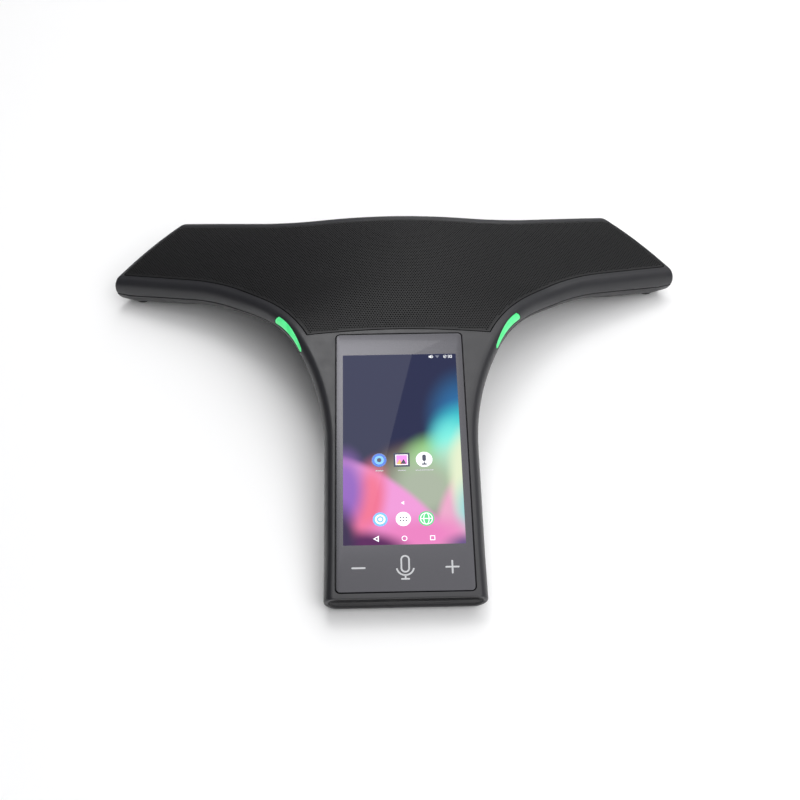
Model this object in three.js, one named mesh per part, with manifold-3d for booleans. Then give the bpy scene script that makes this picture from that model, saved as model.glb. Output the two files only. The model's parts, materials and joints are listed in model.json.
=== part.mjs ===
// A T-shaped conference phone for the middle of a table: a touch screen on a sloping front arm,
// a raised hub with a loudspeaker, and two wings, with a microphone in the end of every arm.
// Millimetres. X runs to the right, Y from the front arm to the back, Z up from the table.
import * as THREE from "three";
import { mergeVertices } from "three/addons/utils/BufferGeometryUtils.js";
import Module from "manifold-3d";

const wasm = await Module();
wasm.setup();

// ---- driving dimensions -------------------------------------------------------------------

const GAP = 0.3; // clearance between neighbouring pieces
const WALL = 2.2; // shell wall
const PLAN_MIDDLE = 136.63; // Y of the middle of the plan

// The deck under the glass slopes up to the back from a line TIP_TOP above the table, at Y = 0.
const TILT = THREE.MathUtils.degToRad(12);
const TIP_TOP = 16.5;

// The widest outline of the body, right half, from the front arm round to the back: corner
// positions, each rounded by a radius. The turns at WAIST and BACK are hollow ones.
const FRONT = { x: 41.2, y: 1.9, radius: 1.2, steps: 2 };
const WAIST = { x: 41.2, y: 174.5, radius: 128, steps: 9, hollow: true };
const WING_FRONT = { x: 174.9, y: 223.9, radius: 1.2, steps: 2 };
const WING_BACK = { x: 131.2, y: 271.9, radius: 3, steps: 3 };
const BACK = { x: 64, y: 253.2, radius: 150, steps: 4, hollow: true };

// The arms are cut off by flat faces that lean in towards the table: how far, by the foot of the cut.
const FRONT_LEAN = 1.9;
const WING_LEAN = 1.9;
const CUT_CHAMFER = 0.5;

// The hub is a crown along a spine that runs out to the wings.
const SPINE = { y: 196, sweep: 0.37, sweepStart: 40, z: 54.3, fall: 0.262, ridge: 50, crown: 0.0026 };
const BLEND = [145, 195]; // where the deck turns into the crown
const HUB_Y = 190;

// The flank, from the deck edge down: a shoulder, the widest line, then a turn under.
const SHOULDER = 5.2;
const FLANK = { low: 18.8, lowTop: 22, taper: 0.21 }; // height, less towards the high hub
const WIDEST = 0.45; // share of the flank height
const PARTING = 0.56;
const UNDERCUT = 4.5;
const BASE = 3; // underside, above the table
const FLOOR = 2.4;
const HULL_SLOPE = 0.9; // how far the underside moves in for each millimetre it drops
const CEILING = 3.6; // top skin and grille recess, or pocket floor

const GLASS = { width: 69.6, start: 5.2, end: 153.5, thickness: 1.8, corner: 2.2 };
const PANEL = { width: 62.1, height: 110.4, middle: 85 }; // lit area, and its middle along the deck
const GRILLE = { rim: 7, endRim: 1.2, front: 150.6, arch: 2.6, thickness: 1, recess: 1.3 };
// A light bar spans degrees round the waist, between two shares of the flank height at either end,
// and is bowed up by a share in the middle.
const LIGHT = {
  from: 26.6, to: 39.2, low: [0.38, 0.395], high: [0.225, 0.115], bow: 0.065, depth: 2.2, board: 1,
};
// The recess in the middle of an arm's cut, and the row of slots in its insert.
const SLOT = {
  front: { width: 77, height: 10.8, slots: 13 },
  wing: { width: 55, height: 12.6, slots: 9 },
  middle: 0.48,
  depth: 0.6,
};
const SPEAKER = { y: HUB_Y, flange: 34, z: 44.6 }; // z is the top of its flange
const GASKET = 1;
const BAY = { halfWidth: 36, y: 223, low: 7, high: 26 }; // hollow for the plugs, under the back edge
const PORT_BOARD_TOP = 8;
// The posts of the two shells meet at a joint, with a screw through both.
const POST = { joint: 9, topRadius: 4, bottomRadius: 5, hole: 1.7, depth: 6.5, headRoom: 3.4 };
const SCREW = { head: 3, headHeight: 1.9, shank: 1.35, tip: 14.6 };
const SCREW_AT = [[24, 19], [120, 230], [62, 217]];

// ---- materials ----------------------------------------------------------------------------

const finish = (color, roughness, metalness = 0) =>
  new THREE.MeshStandardMaterial({ color, roughness, metalness, flatShading: true });

const SHELL = finish(0x38383a, 0.45);
const BASE_PLASTIC = finish(0x262628, 0.6);
const MESH_METAL = finish(0x1b1b1d, 0.4, 0.8);
const INSERT = finish(0x1a1a1b, 0.5);
const COVER_GLASS = finish(0x6c6c70, 0.08);
const SCREEN = finish(0x2b4f9e, 0.2);
const LENS = finish(0x3df57c, 0.3);
const BOARD = finish(0x14532d, 0.55);
const STEEL = finish(0xb4b6ba, 0.35, 0.9);
const ZINC = finish(0x8f9296, 0.4, 0.9);
const FERRITE = finish(0x2c2c2e, 0.7, 0.2);
const PAPER = finish(0x1d1d1f, 0.85);
const RUBBER = finish(0x17171a, 0.9);
const COPPER = finish(0xb06a3b, 0.4, 0.8);
const RIBBON = finish(0xc28a2c, 0.5);
const LABEL = finish(0xc9cacc, 0.6);

// ---- solids -------------------------------------------------------------------------------

function solid(geometry) {
  const bare = geometry.clone();
  bare.deleteAttribute("normal");
  bare.deleteAttribute("uv");
  const merged = mergeVertices(bare, 1e-4);
  return new wasm.Manifold(
    new wasm.Mesh({
      numProp: 3,
      vertProperties: new Float32Array(merged.attributes.position.array),
      triVerts: new Uint32Array(merged.index.array),
    }),
  );
}

function geometryOf(manifold) {
  const mesh = manifold.getMesh();
  const geometry = new THREE.BufferGeometry();
  geometry.setAttribute("position", new THREE.BufferAttribute(mesh.vertProperties, 3));
  geometry.setIndex(new THREE.BufferAttribute(mesh.triVerts, 1));
  return geometry;
}

const cut = (body, ...tools) => geometryOf(tools.reduce((s, t) => s.subtract(solid(t)), solid(body)));
const join = (body, ...more) => geometryOf(more.reduce((s, t) => s.add(solid(t)), solid(body)));
const common = (a, b) => geometryOf(solid(a).intersect(solid(b)));

function box([x0, x1], [y0, y1], [z0, z1]) {
  const geometry = new THREE.BoxGeometry(x1 - x0, y1 - y0, z1 - z0);
  return geometry.translate((x0 + x1) / 2, (y0 + y1) / 2, (z0 + z1) / 2);
}

function rod(radius, [z0, z1], x = 0, y = 0, sides = 16) {
  const geometry = new THREE.CylinderGeometry(radius, radius, z1 - z0, sides);
  return geometry.rotateX(Math.PI / 2).translate(x, y, (z0 + z1) / 2);
}

// A solid of revolution about Z from [radius, height] points that close on themselves.
function turned(profile, sides = 30) {
  const points = [...profile, profile[0]].map(([r, z]) => new THREE.Vector2(r, z));
  const geometry = new THREE.LatheGeometry(points, sides);
  return geometry.rotateX(Math.PI / 2);
}

const tube = (inner, outer, [z0, z1], sides = 30) =>
  turned([[inner, z0], [outer, z0], [outer, z1], [inner, z1]], sides);

// A plate with rounded corners, centred on the origin in X and Y.
function roundedPlate(width, height, radius, [z0, z1], steps = 3) {
  const shape = new THREE.Shape();
  const x = width / 2 - radius;
  const y = height / 2 - radius;
  shape.absarc(x, y, radius, 0, Math.PI / 2);
  shape.absarc(-x, y, radius, Math.PI / 2, Math.PI);
  shape.absarc(-x, -y, radius, Math.PI, 1.5 * Math.PI);
  shape.absarc(x, -y, radius, 1.5 * Math.PI, 2 * Math.PI);
  const options = { depth: z1 - z0, bevelEnabled: false, curveSegments: steps };
  return new THREE.ExtrudeGeometry(shape, options).translate(0, 0, z0);
}

// A round wire or lead through a few points.
function lead(points, radius = 0.8) {
  const section = new THREE.Shape().absarc(0, 0, radius, 0, 2 * Math.PI);
  const path = new THREE.CatmullRomCurve3(points.map((p) => new THREE.Vector3(...p)));
  const options = { steps: 12, curveSegments: 4, bevelEnabled: false, extrudePath: path };
  return new THREE.ExtrudeGeometry(section, options);
}

// A closed skin over rings of equal length, from a first point to a last one.
function loft(first, rings, last) {
  const count = rings[0].length;
  const points = [first, ...rings.flat(), last];
  const index = [];
  const at = (ring, i) => 1 + ring * count + (i % count);
  for (let i = 0; i < count; i += 1) {
    index.push(0, at(0, i), at(0, i + 1));
    index.push(points.length - 1, at(rings.length - 1, i + 1), at(rings.length - 1, i));
    for (let ring = 0; ring + 1 < rings.length; ring += 1) {
      index.push(at(ring, i), at(ring + 1, i), at(ring + 1, i + 1));
      index.push(at(ring, i), at(ring + 1, i + 1), at(ring, i + 1));
    }
  }
  const geometry = new THREE.BufferGeometry().setFromPoints(points);
  return geometry.setIndex(index);
}

// ---- the outline in plan --------------------------------------------------------------------

const mirrored = ({ x, ...corner }) => ({ x: -x, ...corner });
const RIGHT = [FRONT, WAIST, WING_FRONT, WING_BACK, BACK];
const CORNERS = [...RIGHT, ...[...RIGHT].reverse().map(mirrored)];
// How many pieces the straight run after each corner has: front arm, wing front, wing end, back.
const RUNS = [4, 2, 3, 2, 3, 2, 3, 2, 4, 4];

// The straight runs that are the flat cuts at the arm ends: right wing, left wing, front arm.
const LEANS = { 2: WING_LEAN, 6: WING_LEAN, 9: FRONT_LEAN };

// The body's outline, always with the same number of points. The flanks are moved in by side, and
// the cuts by end and by how far they lean at a share of the way down.
function makeOutline(side, end, share) {
  const count = CORNERS.length;
  const edges = CORNERS.map((a, i) => {
    const b = CORNERS[(i + 1) % count];
    const along = new THREE.Vector2(b.x - a.x, b.y - a.y).normalize();
    const inward = new THREE.Vector2(-along.y, along.x);
    const inset = i in LEANS ? end + share * LEANS[i] : side;
    return { along, start: new THREE.Vector2(a.x, a.y).addScaledVector(inward, inset) };
  });
  const arcs = CORNERS.map((corner, i) => {
    const before = edges[(i + count - 1) % count];
    const after = edges[i];
    const turn = Math.abs(before.along.angleTo(after.along));
    const step = after.start.clone().sub(before.start).cross(after.along);
    const vertex = before.start.clone().addScaledVector(before.along, step / before.along.cross(after.along));
    const sense = corner.hollow ? -1 : 1;
    const radius = corner.hollow ? corner.radius + side : corner.radius;
    const reach = radius * Math.tan(turn / 2);
    const normal = new THREE.Vector2(-before.along.y, before.along.x).multiplyScalar(sense);
    const centre = vertex.clone().addScaledVector(before.along, -reach).addScaledVector(normal, radius);
    return Array.from({ length: corner.steps + 1 }, (_, k) => {
      const spoke = normal.clone().multiplyScalar(-radius);
      return spoke.rotateAround(new THREE.Vector2(), sense * turn * (k / corner.steps)).add(centre);
    });
  });
  return arcs.flatMap((arc, i) => {
    const from = arc[arc.length - 1];
    const to = arcs[(i + 1) % count][0];
    const run = Array.from({ length: RUNS[i] - 1 }, (_, k) => from.clone().lerp(to, (k + 1) / RUNS[i]));
    return [...arc, ...run];
  });
}

// The centre of the waist's hollow round.
const wingSlope = Math.atan2(WING_FRONT.y - WAIST.y, WING_FRONT.x - WAIST.x);
const WAIST_CENTRE = {
  x: WAIST.x + WAIST.radius,
  y: WAIST.y - WAIST.radius * Math.tan((Math.PI / 2 - wingSlope) / 2),
};

const outlines = new Map();
function outline(side, end, share = 0) {
  const key = [side, end, share].map((value) => value.toFixed(3)).join();
  if (!outlines.has(key)) outlines.set(key, makeOutline(side, end, share));
  return outlines.get(key);
}

// ---- heights --------------------------------------------------------------------------------

function topHeight(x, y) {
  const deck = TIP_TOP + y * Math.tan(TILT);
  const spineY = SPINE.y + SPINE.sweep * (Math.hypot(x, SPINE.sweepStart) - SPINE.sweepStart);
  const spineZ = SPINE.z - SPINE.fall * (Math.hypot(x, SPINE.ridge) - SPINE.ridge);
  const crown = spineZ - SPINE.crown * (y - spineY) ** 2;
  return THREE.MathUtils.lerp(deck, crown, THREE.MathUtils.smoothstep(y, ...BLEND));
}

const flankHeight = (top) =>
  Math.min(top - BASE - 0.6, FLANK.low - FLANK.taper * Math.max(top - FLANK.lowTop, 0));

// How far the flank stands in from the widest outline, at a share of its height.
function flankInset(share) {
  if (share < WIDEST) return SHOULDER * (1 - Math.sqrt(1 - (1 - share / WIDEST) ** 2));
  const turn = (0.9 * (share - WIDEST)) / (1 - WIDEST);
  return (UNDERCUT * (1 - Math.sqrt(1 - turn ** 2))) / (1 - Math.sqrt(1 - 0.81));
}

const edge = outline(SHOULDER, CUT_CHAMFER);
const edgeTop = edge.map((p) => topHeight(p.x, p.y));

// One ring of the flank, moved in by a further depth and up by a lift.
function flankRing(share, depth = 0, lift = 0) {
  const ring = outline(flankInset(share) + depth, (share > 0 ? 0 : CUT_CHAMFER) + depth, share);
  return ring.map((p, i) => new THREE.Vector3(p.x, p.y, edgeTop[i] - share * flankHeight(edgeTop[i]) + lift));
}

// A ring on the underside, where the hull has run in and down to the flat base.
function baseRing(depth, z) {
  return edgeTop.map((top, i) => {
    const run = 1 + (top - flankHeight(top) - BASE) * HULL_SLOPE;
    const p = outline(UNDERCUT + run + depth, run + depth, 1)[i];
    return new THREE.Vector3(p.x, p.y, z);
  });
}

// Rings that shrink to a middle point, at a depth below the top surface.
function crownRings(rim, drop, middleY, shares) {
  return shares.map((share) =>
    rim.map((p) => {
      const x = p.x * share;
      const y = middleY + (p.y - middleY) * share;
      return new THREE.Vector3(x, y, topHeight(x, y) - drop);
    }),
  );
}

const crownPoint = (y, drop) => new THREE.Vector3(0, y, topHeight(0, y) - drop);
const RING_SHARES = [0.2, 0.42, 0.62, 0.82];

// A sheet that follows the top surface between two depths.
function sheet(rim, upper, lower, middleY) {
  const shares = [...RING_SHARES, 1];
  const down = [...shares].reverse();
  return loft(
    crownPoint(middleY, upper),
    [...crownRings(rim, upper, middleY, shares), ...crownRings(rim, lower, middleY, down)],
    crownPoint(middleY, lower),
  );
}

// ---- frames: the sloping deck and the three arm ends -----------------------------------------

const deckMatrix = new THREE.Matrix4().makeRotationX(TILT).setPosition(0, 0, TIP_TOP);
const onDeck = (geometry) => geometry.applyMatrix4(deckMatrix);

// The frame of an arm end, in the middle of its cut: X along it, Y straight out, Z up the cut.
function endMatrix(a, b, lean) {
  const along = new THREE.Vector2(b.x - a.x, b.y - a.y).normalize();
  const middle = new THREE.Vector2((a.x + b.x) / 2, (a.y + b.y) / 2);
  const reach = 20;
  const heights = [-reach, 0, reach].map((t) => topHeight(middle.x + t * along.x, middle.y + t * along.y));
  const drop = flankHeight(heights[1]);
  const x = new THREE.Vector3(-along.x, -along.y, (heights[0] - heights[2]) / (2 * reach)).normalize();
  const down = new THREE.Vector3(-along.y * lean, along.x * lean, -drop).normalize();
  const y = new THREE.Vector3().crossVectors(x, down).normalize();
  const matrix = new THREE.Matrix4().makeBasis(x, y, new THREE.Vector3().crossVectors(x, y));
  const inset = SLOT.middle * lean;
  return matrix.setPosition(
    middle.x - along.y * inset, middle.y + along.x * inset, heights[1] - SLOT.middle * drop,
  );
}

const ENDS = {
  front: { matrix: endMatrix(mirrored(FRONT), FRONT, FRONT_LEAN), ...SLOT.front },
  right: { matrix: endMatrix(WING_FRONT, WING_BACK, WING_LEAN), ...SLOT.wing },
  left: { matrix: endMatrix(mirrored(WING_BACK), mirrored(WING_FRONT), WING_LEAN), ...SLOT.wing },
};

// A plate seen along Y: its width along X, its height along Z, between two depths behind the face.
function endPlate(width, height, radius, outer, inner) {
  const plate = roundedPlate(width, height, radius, [0, inner - outer]);
  return plate.rotateX(Math.PI / 2).translate(0, -outer, 0);
}

const endRecesses = () => Object.values(ENDS).map(({ matrix, width, height }) =>
  endPlate(width, height, height / 2, -3, 6).applyMatrix4(matrix));

// ---- shells ----------------------------------------------------------------------------------

// The rim of the grille recess: the outline behind the glass, closed by a shallow arch.
function grilleRim(inset) {
  const rim = outline(GRILLE.rim + inset, GRILLE.endRim + inset);
  const front = GRILLE.front + inset;
  const round = WAIST.radius + GRILLE.rim + inset;
  const corner = WAIST_CENTRE.x - Math.sqrt(round ** 2 - (front - WAIST_CENTRE.y) ** 2);
  const behind = rim.filter((p) => p.y > front + 1);
  const archSteps = 10;
  const arch = Array.from({ length: archSteps + 1 }, (_, k) => {
    const across = (2 * k) / archSteps - 1;
    return new THREE.Vector2(across * corner, front + GRILLE.arch * (1 - across ** 2));
  });
  return [...arch, ...behind];
}

const post = (x, y, radius, span) => rod(radius, span, x, y, 16);
const screwPoints = SCREW_AT.flatMap(([x, y]) => [[x, y], [-x, y]]);

function topShell() {
  const outside = [0, 0.06, 0.16, 0.3, WIDEST, PARTING].map((share) => flankRing(share));
  const lip = [flankRing(PARTING, WALL / 2), flankRing(PARTING - 0.1, WALL / 2)];
  const inside = [PARTING - 0.1, 0.3].map((share) => flankRing(share, WALL));
  const roof = outline(SHOULDER + WALL + 1, WALL + 1.5, 0.2);
  const roofShares = [...RING_SHARES, 1].reverse();
  let body = loft(
    crownPoint(HUB_Y, 0),
    [...crownRings(edge, 0, HUB_Y, RING_SHARES), ...outside, ...lip, ...inside,
      ...crownRings(roof, CEILING, HUB_Y, roofShares)],
    crownPoint(HUB_Y, CEILING),
  );
  const opening = SPEAKER.flange - 5;
  const ring = tube(opening, SPEAKER.flange + 1, [SPEAKER.z + GASKET + GAP, SPINE.z - 2.3]);
  const posts = screwPoints.map(([x, y]) =>
    post(x, y, POST.topRadius, [POST.joint + GAP, topHeight(x, y) - CEILING + 0.8]));
  body = join(body, ring.translate(0, SPEAKER.y, 0), ...posts);
  return cut(
    body,
    sheet(grilleRim(0), -3, GRILLE.recess, HUB_Y + 10),
    rod(opening, [SPEAKER.z, SPINE.z + 5], 0, SPEAKER.y, 40),
    onDeck(glassPlate(GAP, [-GLASS.thickness - GAP, 4])),
    onDeck(screenBlock(1, [SCREEN_BACK, 0])),
    ...[1, -1].map((side) => lightBlock(side, GAP, -2, 2 * LIGHT.depth)),
    ...endRecesses(),
    ...screwPoints.map(([x, y]) => post(x, y, POST.hole, [POST.joint - 2, POST.joint + POST.depth])),
  );
}

// The outside of the bottom shell, filled: from a lip inside the parting line to the flat base.
const LIP = WALL / 2 + GAP;
const UNDER = new THREE.Vector3(0, HUB_Y, -100); // rings close on this point, and the rest is cut off

const cutBelow = (geometry, z) => cut(geometry, box([-200, 200], [-20, 300], [UNDER.z - 1, z]));

function bottomBlock() {
  const lip = [flankRing(PARTING - 0.06, LIP), flankRing(PARTING, LIP, -GAP)];
  const hull = [PARTING, 0.7, 0.86, 1].map((share) => flankRing(share, 0, share === PARTING ? -GAP : 0));
  const block = loft(new THREE.Vector3(0, HUB_Y, 34), [...lip, ...hull, baseRing(0, BASE)], UNDER);
  return cutBelow(block, BASE);
}

function bottomCavity() {
  const inner = (share, lift) => flankRing(share, WALL, lift);
  const sill = inner(1, WALL).map((p) => p.setZ(Math.max(p.z, BASE + FLOOR + 0.3)));
  const rings = [inner(PARTING - 0.06, 5), inner(PARTING - 0.06, 0), inner(0.8, 0), sill];
  const cavity = loft(new THREE.Vector3(0, HUB_Y, 80), [...rings, baseRing(WALL, BASE + FLOOR)], UNDER);
  return cutBelow(cavity, BASE + FLOOR);
}

function bottomShell() {
  const block = bottomBlock();
  const wide = BAY.halfWidth;
  const bayWall = box([-wide - WALL, wide + WALL], [BAY.y - WALL, 270], [BASE + 1, BAY.high + WALL]);
  const bosses = screwPoints.map(([x, y]) => post(x, y, POST.bottomRadius, [BASE + 0.4, POST.joint]));
  return cut(
    join(cut(block, bottomCavity()), common(block, bayWall), ...bosses),
    box([-wide, wide], [BAY.y, 290], [BAY.low, BAY.high]),
    box([-wide + 3, wide - 3], [BAY.y - 5, BAY.y + 5], [PORT_BOARD_TOP + 0.2, BAY.high - 1.6]),
    ...endRecesses(),
    ...screwPoints.map(([x, y]) => post(x, y, POST.hole, [BASE - 1, POST.joint + 1])),
    ...screwPoints.map(([x, y]) => post(x, y, POST.headRoom, [BASE - 1, BASE + FLOOR + 0.1])),
  );
}

const grille = () => sheet(grilleRim(GAP), 0, GRILLE.thickness, HUB_Y + 10);

// ---- deck pieces, in the deck's own frame (X across, Y up the slope, Z off the deck) -----------

function glassPlate(grow, depth) {
  const { width, start, end, corner } = GLASS;
  const plate = roundedPlate(width + 2 * grow, end - start + 2 * grow, corner + grow, depth);
  return plate.translate(0, (start + end) / 2, 0);
}

function screenBlock(grow, [z0, z1]) {
  const x = PANEL.width / 2 + 1.5 + grow;
  const y = PANEL.height / 2 + 3 + grow;
  return box([-x, x], [PANEL.middle - y, PANEL.middle + y], [z0, z1]);
}

const SCREEN_BACK = -6.2;
const BOARD_TOP = -11.6;
const BOARD_THICKNESS = 1.6;

// A pressed tray behind the screen, with two windows in it.
function screenBracket() {
  const x = PANEL.width / 2 + 3.5;
  const y = PANEL.height / 2 + 4;
  const tray = box([-x, x], [PANEL.middle - y, PANEL.middle + y], [SCREEN_BACK - 1.3, SCREEN_BACK - GAP]);
  const windows = [-28, 28].map((offset) =>
    box([-20, 20], [PANEL.middle + offset - 20, PANEL.middle + offset + 20], [SCREEN_BACK - 4, 0]));
  return cut(tray, ...windows);
}

const mainBoard = () => box([-32, 32], [42, 148], [BOARD_TOP - BOARD_THICKNESS, BOARD_TOP]);
const wirelessAerial = () => box([-14, 14], [150, 156], [BOARD_TOP - 2, BOARD_TOP - 1.2]);

// The flat strip that stands between the board and the screen's upper edge.
function screenRibbon() {
  const y = PANEL.middle + PANEL.height / 2 + 5.8;
  return box([-9, 9], [y, y + GAP], [BOARD_TOP + 0.6, SCREEN_BACK - 1.4]);
}

// ---- light bars in the waist -----------------------------------------------------------------

// A block that follows the waist of the right flank, grown by a clearance, between two depths.
function waistBlock(grow, outer, inner) {
  const steps = 6;
  const spread = THREE.MathUtils.radToDeg(grow / WAIST.radius);
  const edgeRadius = WAIST.radius + SHOULDER;
  const sections = Array.from({ length: steps + 1 }, (_, k) => {
    const degrees = THREE.MathUtils.lerp(LIGHT.from - spread, LIGHT.to + spread, k / steps);
    const bow = 4 * LIGHT.bow * (k / steps) * (1 - k / steps);
    const shareHere = ([start, stop]) => THREE.MathUtils.lerp(start, stop, k / steps) - bow;
    const low = shareHere(LIGHT.low);
    const high = shareHere(LIGHT.high);
    const angle = THREE.MathUtils.degToRad(degrees);
    const around = (radius) => [
      WAIST_CENTRE.x - radius * Math.cos(angle), WAIST_CENTRE.y + radius * Math.sin(angle),
    ];
    const top = topHeight(...around(edgeRadius));
    const place = (share, depth, lift) => new THREE.Vector3(
      ...around(WAIST.radius + flankInset(share) + depth), top - share * flankHeight(top) + lift,
    );
    const middle = (low + high) / 2;
    return [
      place(middle, outer, 0), place(high, outer, grow), place(high, inner, grow),
      place(middle, inner, 0), place(low, inner, -grow), place(low, outer, -grow),
    ];
  });
  const centre = (ring) => ring.reduce((sum, p) => sum.add(p), new THREE.Vector3()).divideScalar(ring.length);
  return loft(centre(sections[0]), sections, centre(sections[steps]));
}

// The same block on either side: the left one is the right one turned over, with its faces turned back.
function lightBlock(side, grow, outer, inner) {
  const block = waistBlock(grow, outer, inner);
  if (side > 0) return block;
  const index = block.index.array;
  for (let i = 0; i < index.length; i += 3) [index[i], index[i + 1]] = [index[i + 1], index[i]];
  return block.scale(-1, 1, 1);
}

// ---- loudspeaker, about its own axis, with Z from the top of its flange ------------------------

function speakerScrewPoints() {
  const reach = SPEAKER.flange - 2.4;
  return [0, 1, 2, 3].map((k) => {
    const angle = (k + 0.5) * (Math.PI / 2);
    return [reach * Math.cos(angle), reach * Math.sin(angle)];
  });
}

function speakerFrame() {
  const frame = turned([
    [29.6, -3], [29.6, -1.8], [SPEAKER.flange, -1.8], [SPEAKER.flange, 0], [28.2, 0], [28.2, -2.5],
    [18.4, -13.6], [10, -13.6], [10, -15], [19.6, -15],
  ]);
  const windows = [0, 1, 2, 3].map((k) =>
    box([16, 30], [-6, 6], [-12.4, -4.8]).rotateZ((k + 0.5) * (Math.PI / 2)));
  const holes = speakerScrewPoints().map(([x, y]) => rod(1.3, [-4, 2], x, y, 12));
  return cut(frame, ...windows, ...holes);
}

const speakerYoke = () =>
  turned([[0, -27.2], [17.5, -27.2], [17.5, -24.9], [5.8, -24.9], [5.8, -15.6], [0, -15.6]]);
const speakerMagnet = () => tube(9.5, 18.6, [-24.6, -18.4]);
const speakerTopPlate = () => tube(7.9, 18, [-18.1, -15.4]);
const voiceCoil = () => tube(6.5, 7.2, [-20.4, -8.4]);
const speakerCone = () => turned([[7.6, -9.2], [24.4, -2.2], [24.4, -1.3], [7.6, -8.3]]);

// A half roll round the cone.
const speakerSurround = () => turned([
  [24.8, -1.7], [26, -0.7], [27, -0.4], [27.9, -0.7], [27.9, -0.1], [27, 0.2], [25.7, -0.1], [24.8, -0.9],
]);

// A corrugated disc round the coil.
function speakerSpider() {
  const waves = [[7.6, 0], [9.5, 0.6], [11.5, 0], [13.5, 0.6], [15.5, 0], [17.6, 0]];
  const lower = waves.map(([r, z]) => [r, z - 12.8]);
  const upper = waves.map(([r, z]) => [r, z - 12.1]).reverse();
  return turned([...lower, ...upper]);
}

function dustCap() {
  const steps = 5;
  const arc = (radius, height) => Array.from({ length: steps + 1 }, (_, k) => {
    const angle = (k / steps) * (Math.PI / 2);
    return [radius * Math.cos(angle), height * Math.sin(angle) - 7];
  });
  return turned([...arc(9.6, 3.6), ...arc(8.8, 2.8).reverse()]);
}

// ---- ports -----------------------------------------------------------------------------------

const PORT_FACE = BAY.y + 1.9; // outer face of the port panel
const PORTS = {
  network: { x: -21, z: [8.6, 21.8], halfWidth: 8, depth: 19 },
  usb: { x: 0.5, z: [9.4, 16.6], halfWidth: 7.3, depth: 15 },
  audio: { x: 16, z: [9.2, 16.2], halfWidth: 3.6, depth: 13 },
};
const RESET = { x: 27, z: 12.6, radius: 1.6, length: 4.4, sunk: 0.2, travel: 0.6 };
const LOCK_SLOT = { x: 27, z: 20.1, width: 7, height: 3 };

function portBody({ x, z, halfWidth, depth }) {
  return box([x - halfWidth, x + halfWidth], [PORT_FACE - 0.4 - depth, PORT_FACE - 0.4], z);
}

function networkSocket() {
  const { x } = PORTS.network;
  return cut(
    portBody(PORTS.network),
    box([x - 5.9, x + 5.9], [PORT_FACE - 14, PORT_FACE + 1], [12.2, 20.4]),
    box([x - 3, x + 3], [PORT_FACE - 14, PORT_FACE + 1], [10.4, 13]),
  );
}

function usbSocket() {
  const { x } = PORTS.usb;
  return cut(portBody(PORTS.usb), box([x - 6.3, x + 6.3], [PORT_FACE - 12, PORT_FACE + 1], [10.4, 15.6]));
}

function audioSocket() {
  const { x } = PORTS.audio;
  const hole = rod(1.8, [0, 12], 0, 0, 20).rotateX(Math.PI / 2).translate(x, PORT_FACE + 1, 12.7);
  return cut(portBody(PORTS.audio), hole);
}

function portPanel() {
  const panel = box([-BAY.halfWidth + GAP, BAY.halfWidth - GAP], [BAY.y + GAP, PORT_FACE],
    [BAY.low + GAP, BAY.high - GAP]);
  const holes = Object.values(PORTS).map(({ x, z, halfWidth }) =>
    box([x - halfWidth - GAP, x + halfWidth + GAP], [BAY.y - 5, BAY.y + 9], [z[0] - GAP, z[1] + GAP]));
  const resetHole = rod(RESET.radius + GAP, [-6, 6], 0, 0, 20).rotateX(Math.PI / 2)
    .translate(RESET.x, BAY.y, RESET.z);
  const lockSlot = new THREE.BoxGeometry(LOCK_SLOT.width, 10, LOCK_SLOT.height)
    .translate(LOCK_SLOT.x, BAY.y, LOCK_SLOT.z);
  return cut(panel, ...holes, resetHole, lockSlot);
}

function resetButton() {
  const stem = rod(RESET.radius, [0, RESET.length], 0, 0, 20).rotateX(Math.PI / 2);
  return stem.translate(RESET.x, PORT_FACE - RESET.sunk, RESET.z);
}

function resetSwitch() {
  const front = PORT_FACE - RESET.sunk - RESET.length - RESET.travel - GAP;
  return box([RESET.x - 3, RESET.x + 3], [front - 3.6, front], [RESET.z - 3, RESET.z + 3]);
}

function portBoard() {
  return box([-33, 33], [198, BAY.y - WALL - 2.3], [PORT_BOARD_TOP - BOARD_THICKNESS, PORT_BOARD_TOP]);
}

// ---- ends, feet, fasteners ---------------------------------------------------------------------

const SLOT_PITCH = 5.2;

function endInsert({ width, height, slots }) {
  const plate = endPlate(width - 2 * GAP, height - 2 * GAP, height / 2 - GAP, SLOT.depth, SLOT.depth + 1.8);
  const row = Array.from({ length: slots }, (_, k) => {
    const x = (k - (slots - 1) / 2) * SLOT_PITCH;
    return box([x - 1.6, x + 1.6], [-8, 2], [-0.8, 0.8]);
  });
  return cut(plate, ...row);
}

function micBoot() {
  const boot = endPlate(16, 5, 2.4, SLOT.depth + 2.1, SLOT.depth + 4.6);
  return cut(boot, box([-1.6, 1.6], [-12, 2], [-0.8, 0.8]));
}

const micBoard = () => box([-11, 11], [-7.4, -6.2], [-4, 1]);

function foot([x, y, turn], length) {
  return roundedPlate(length, 11, 5.4, [0, BASE - GAP]).rotateZ(turn).translate(x, y, 0);
}

const endTurn = Math.atan2(WING_BACK.y - WING_FRONT.y, WING_BACK.x - WING_FRONT.x);
const FEET = {
  front: { at: [0, 14, 0], length: 30 },
  right: { at: [151.1, 239.2, endTurn], length: 34 },
  left: { at: [-151.1, 239.2, -endTurn], length: 34 },
};

function coverScrew([x, y]) {
  const headTop = BASE + FLOOR - 0.2;
  return join(
    rod(SCREW.head, [headTop - SCREW.headHeight, headTop], x, y, 16),
    rod(SCREW.shank, [headTop - 0.4, SCREW.tip], x, y, 12),
  );
}

const speakerScrew = ([x, y]) => rod(2, [-3.8, -2.1], x, y, 16);

const ratingPlate = () => roundedPlate(46, 26, 2, [BASE - GAP - 0.4, BASE - GAP]).translate(0, 175, 0);

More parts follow.
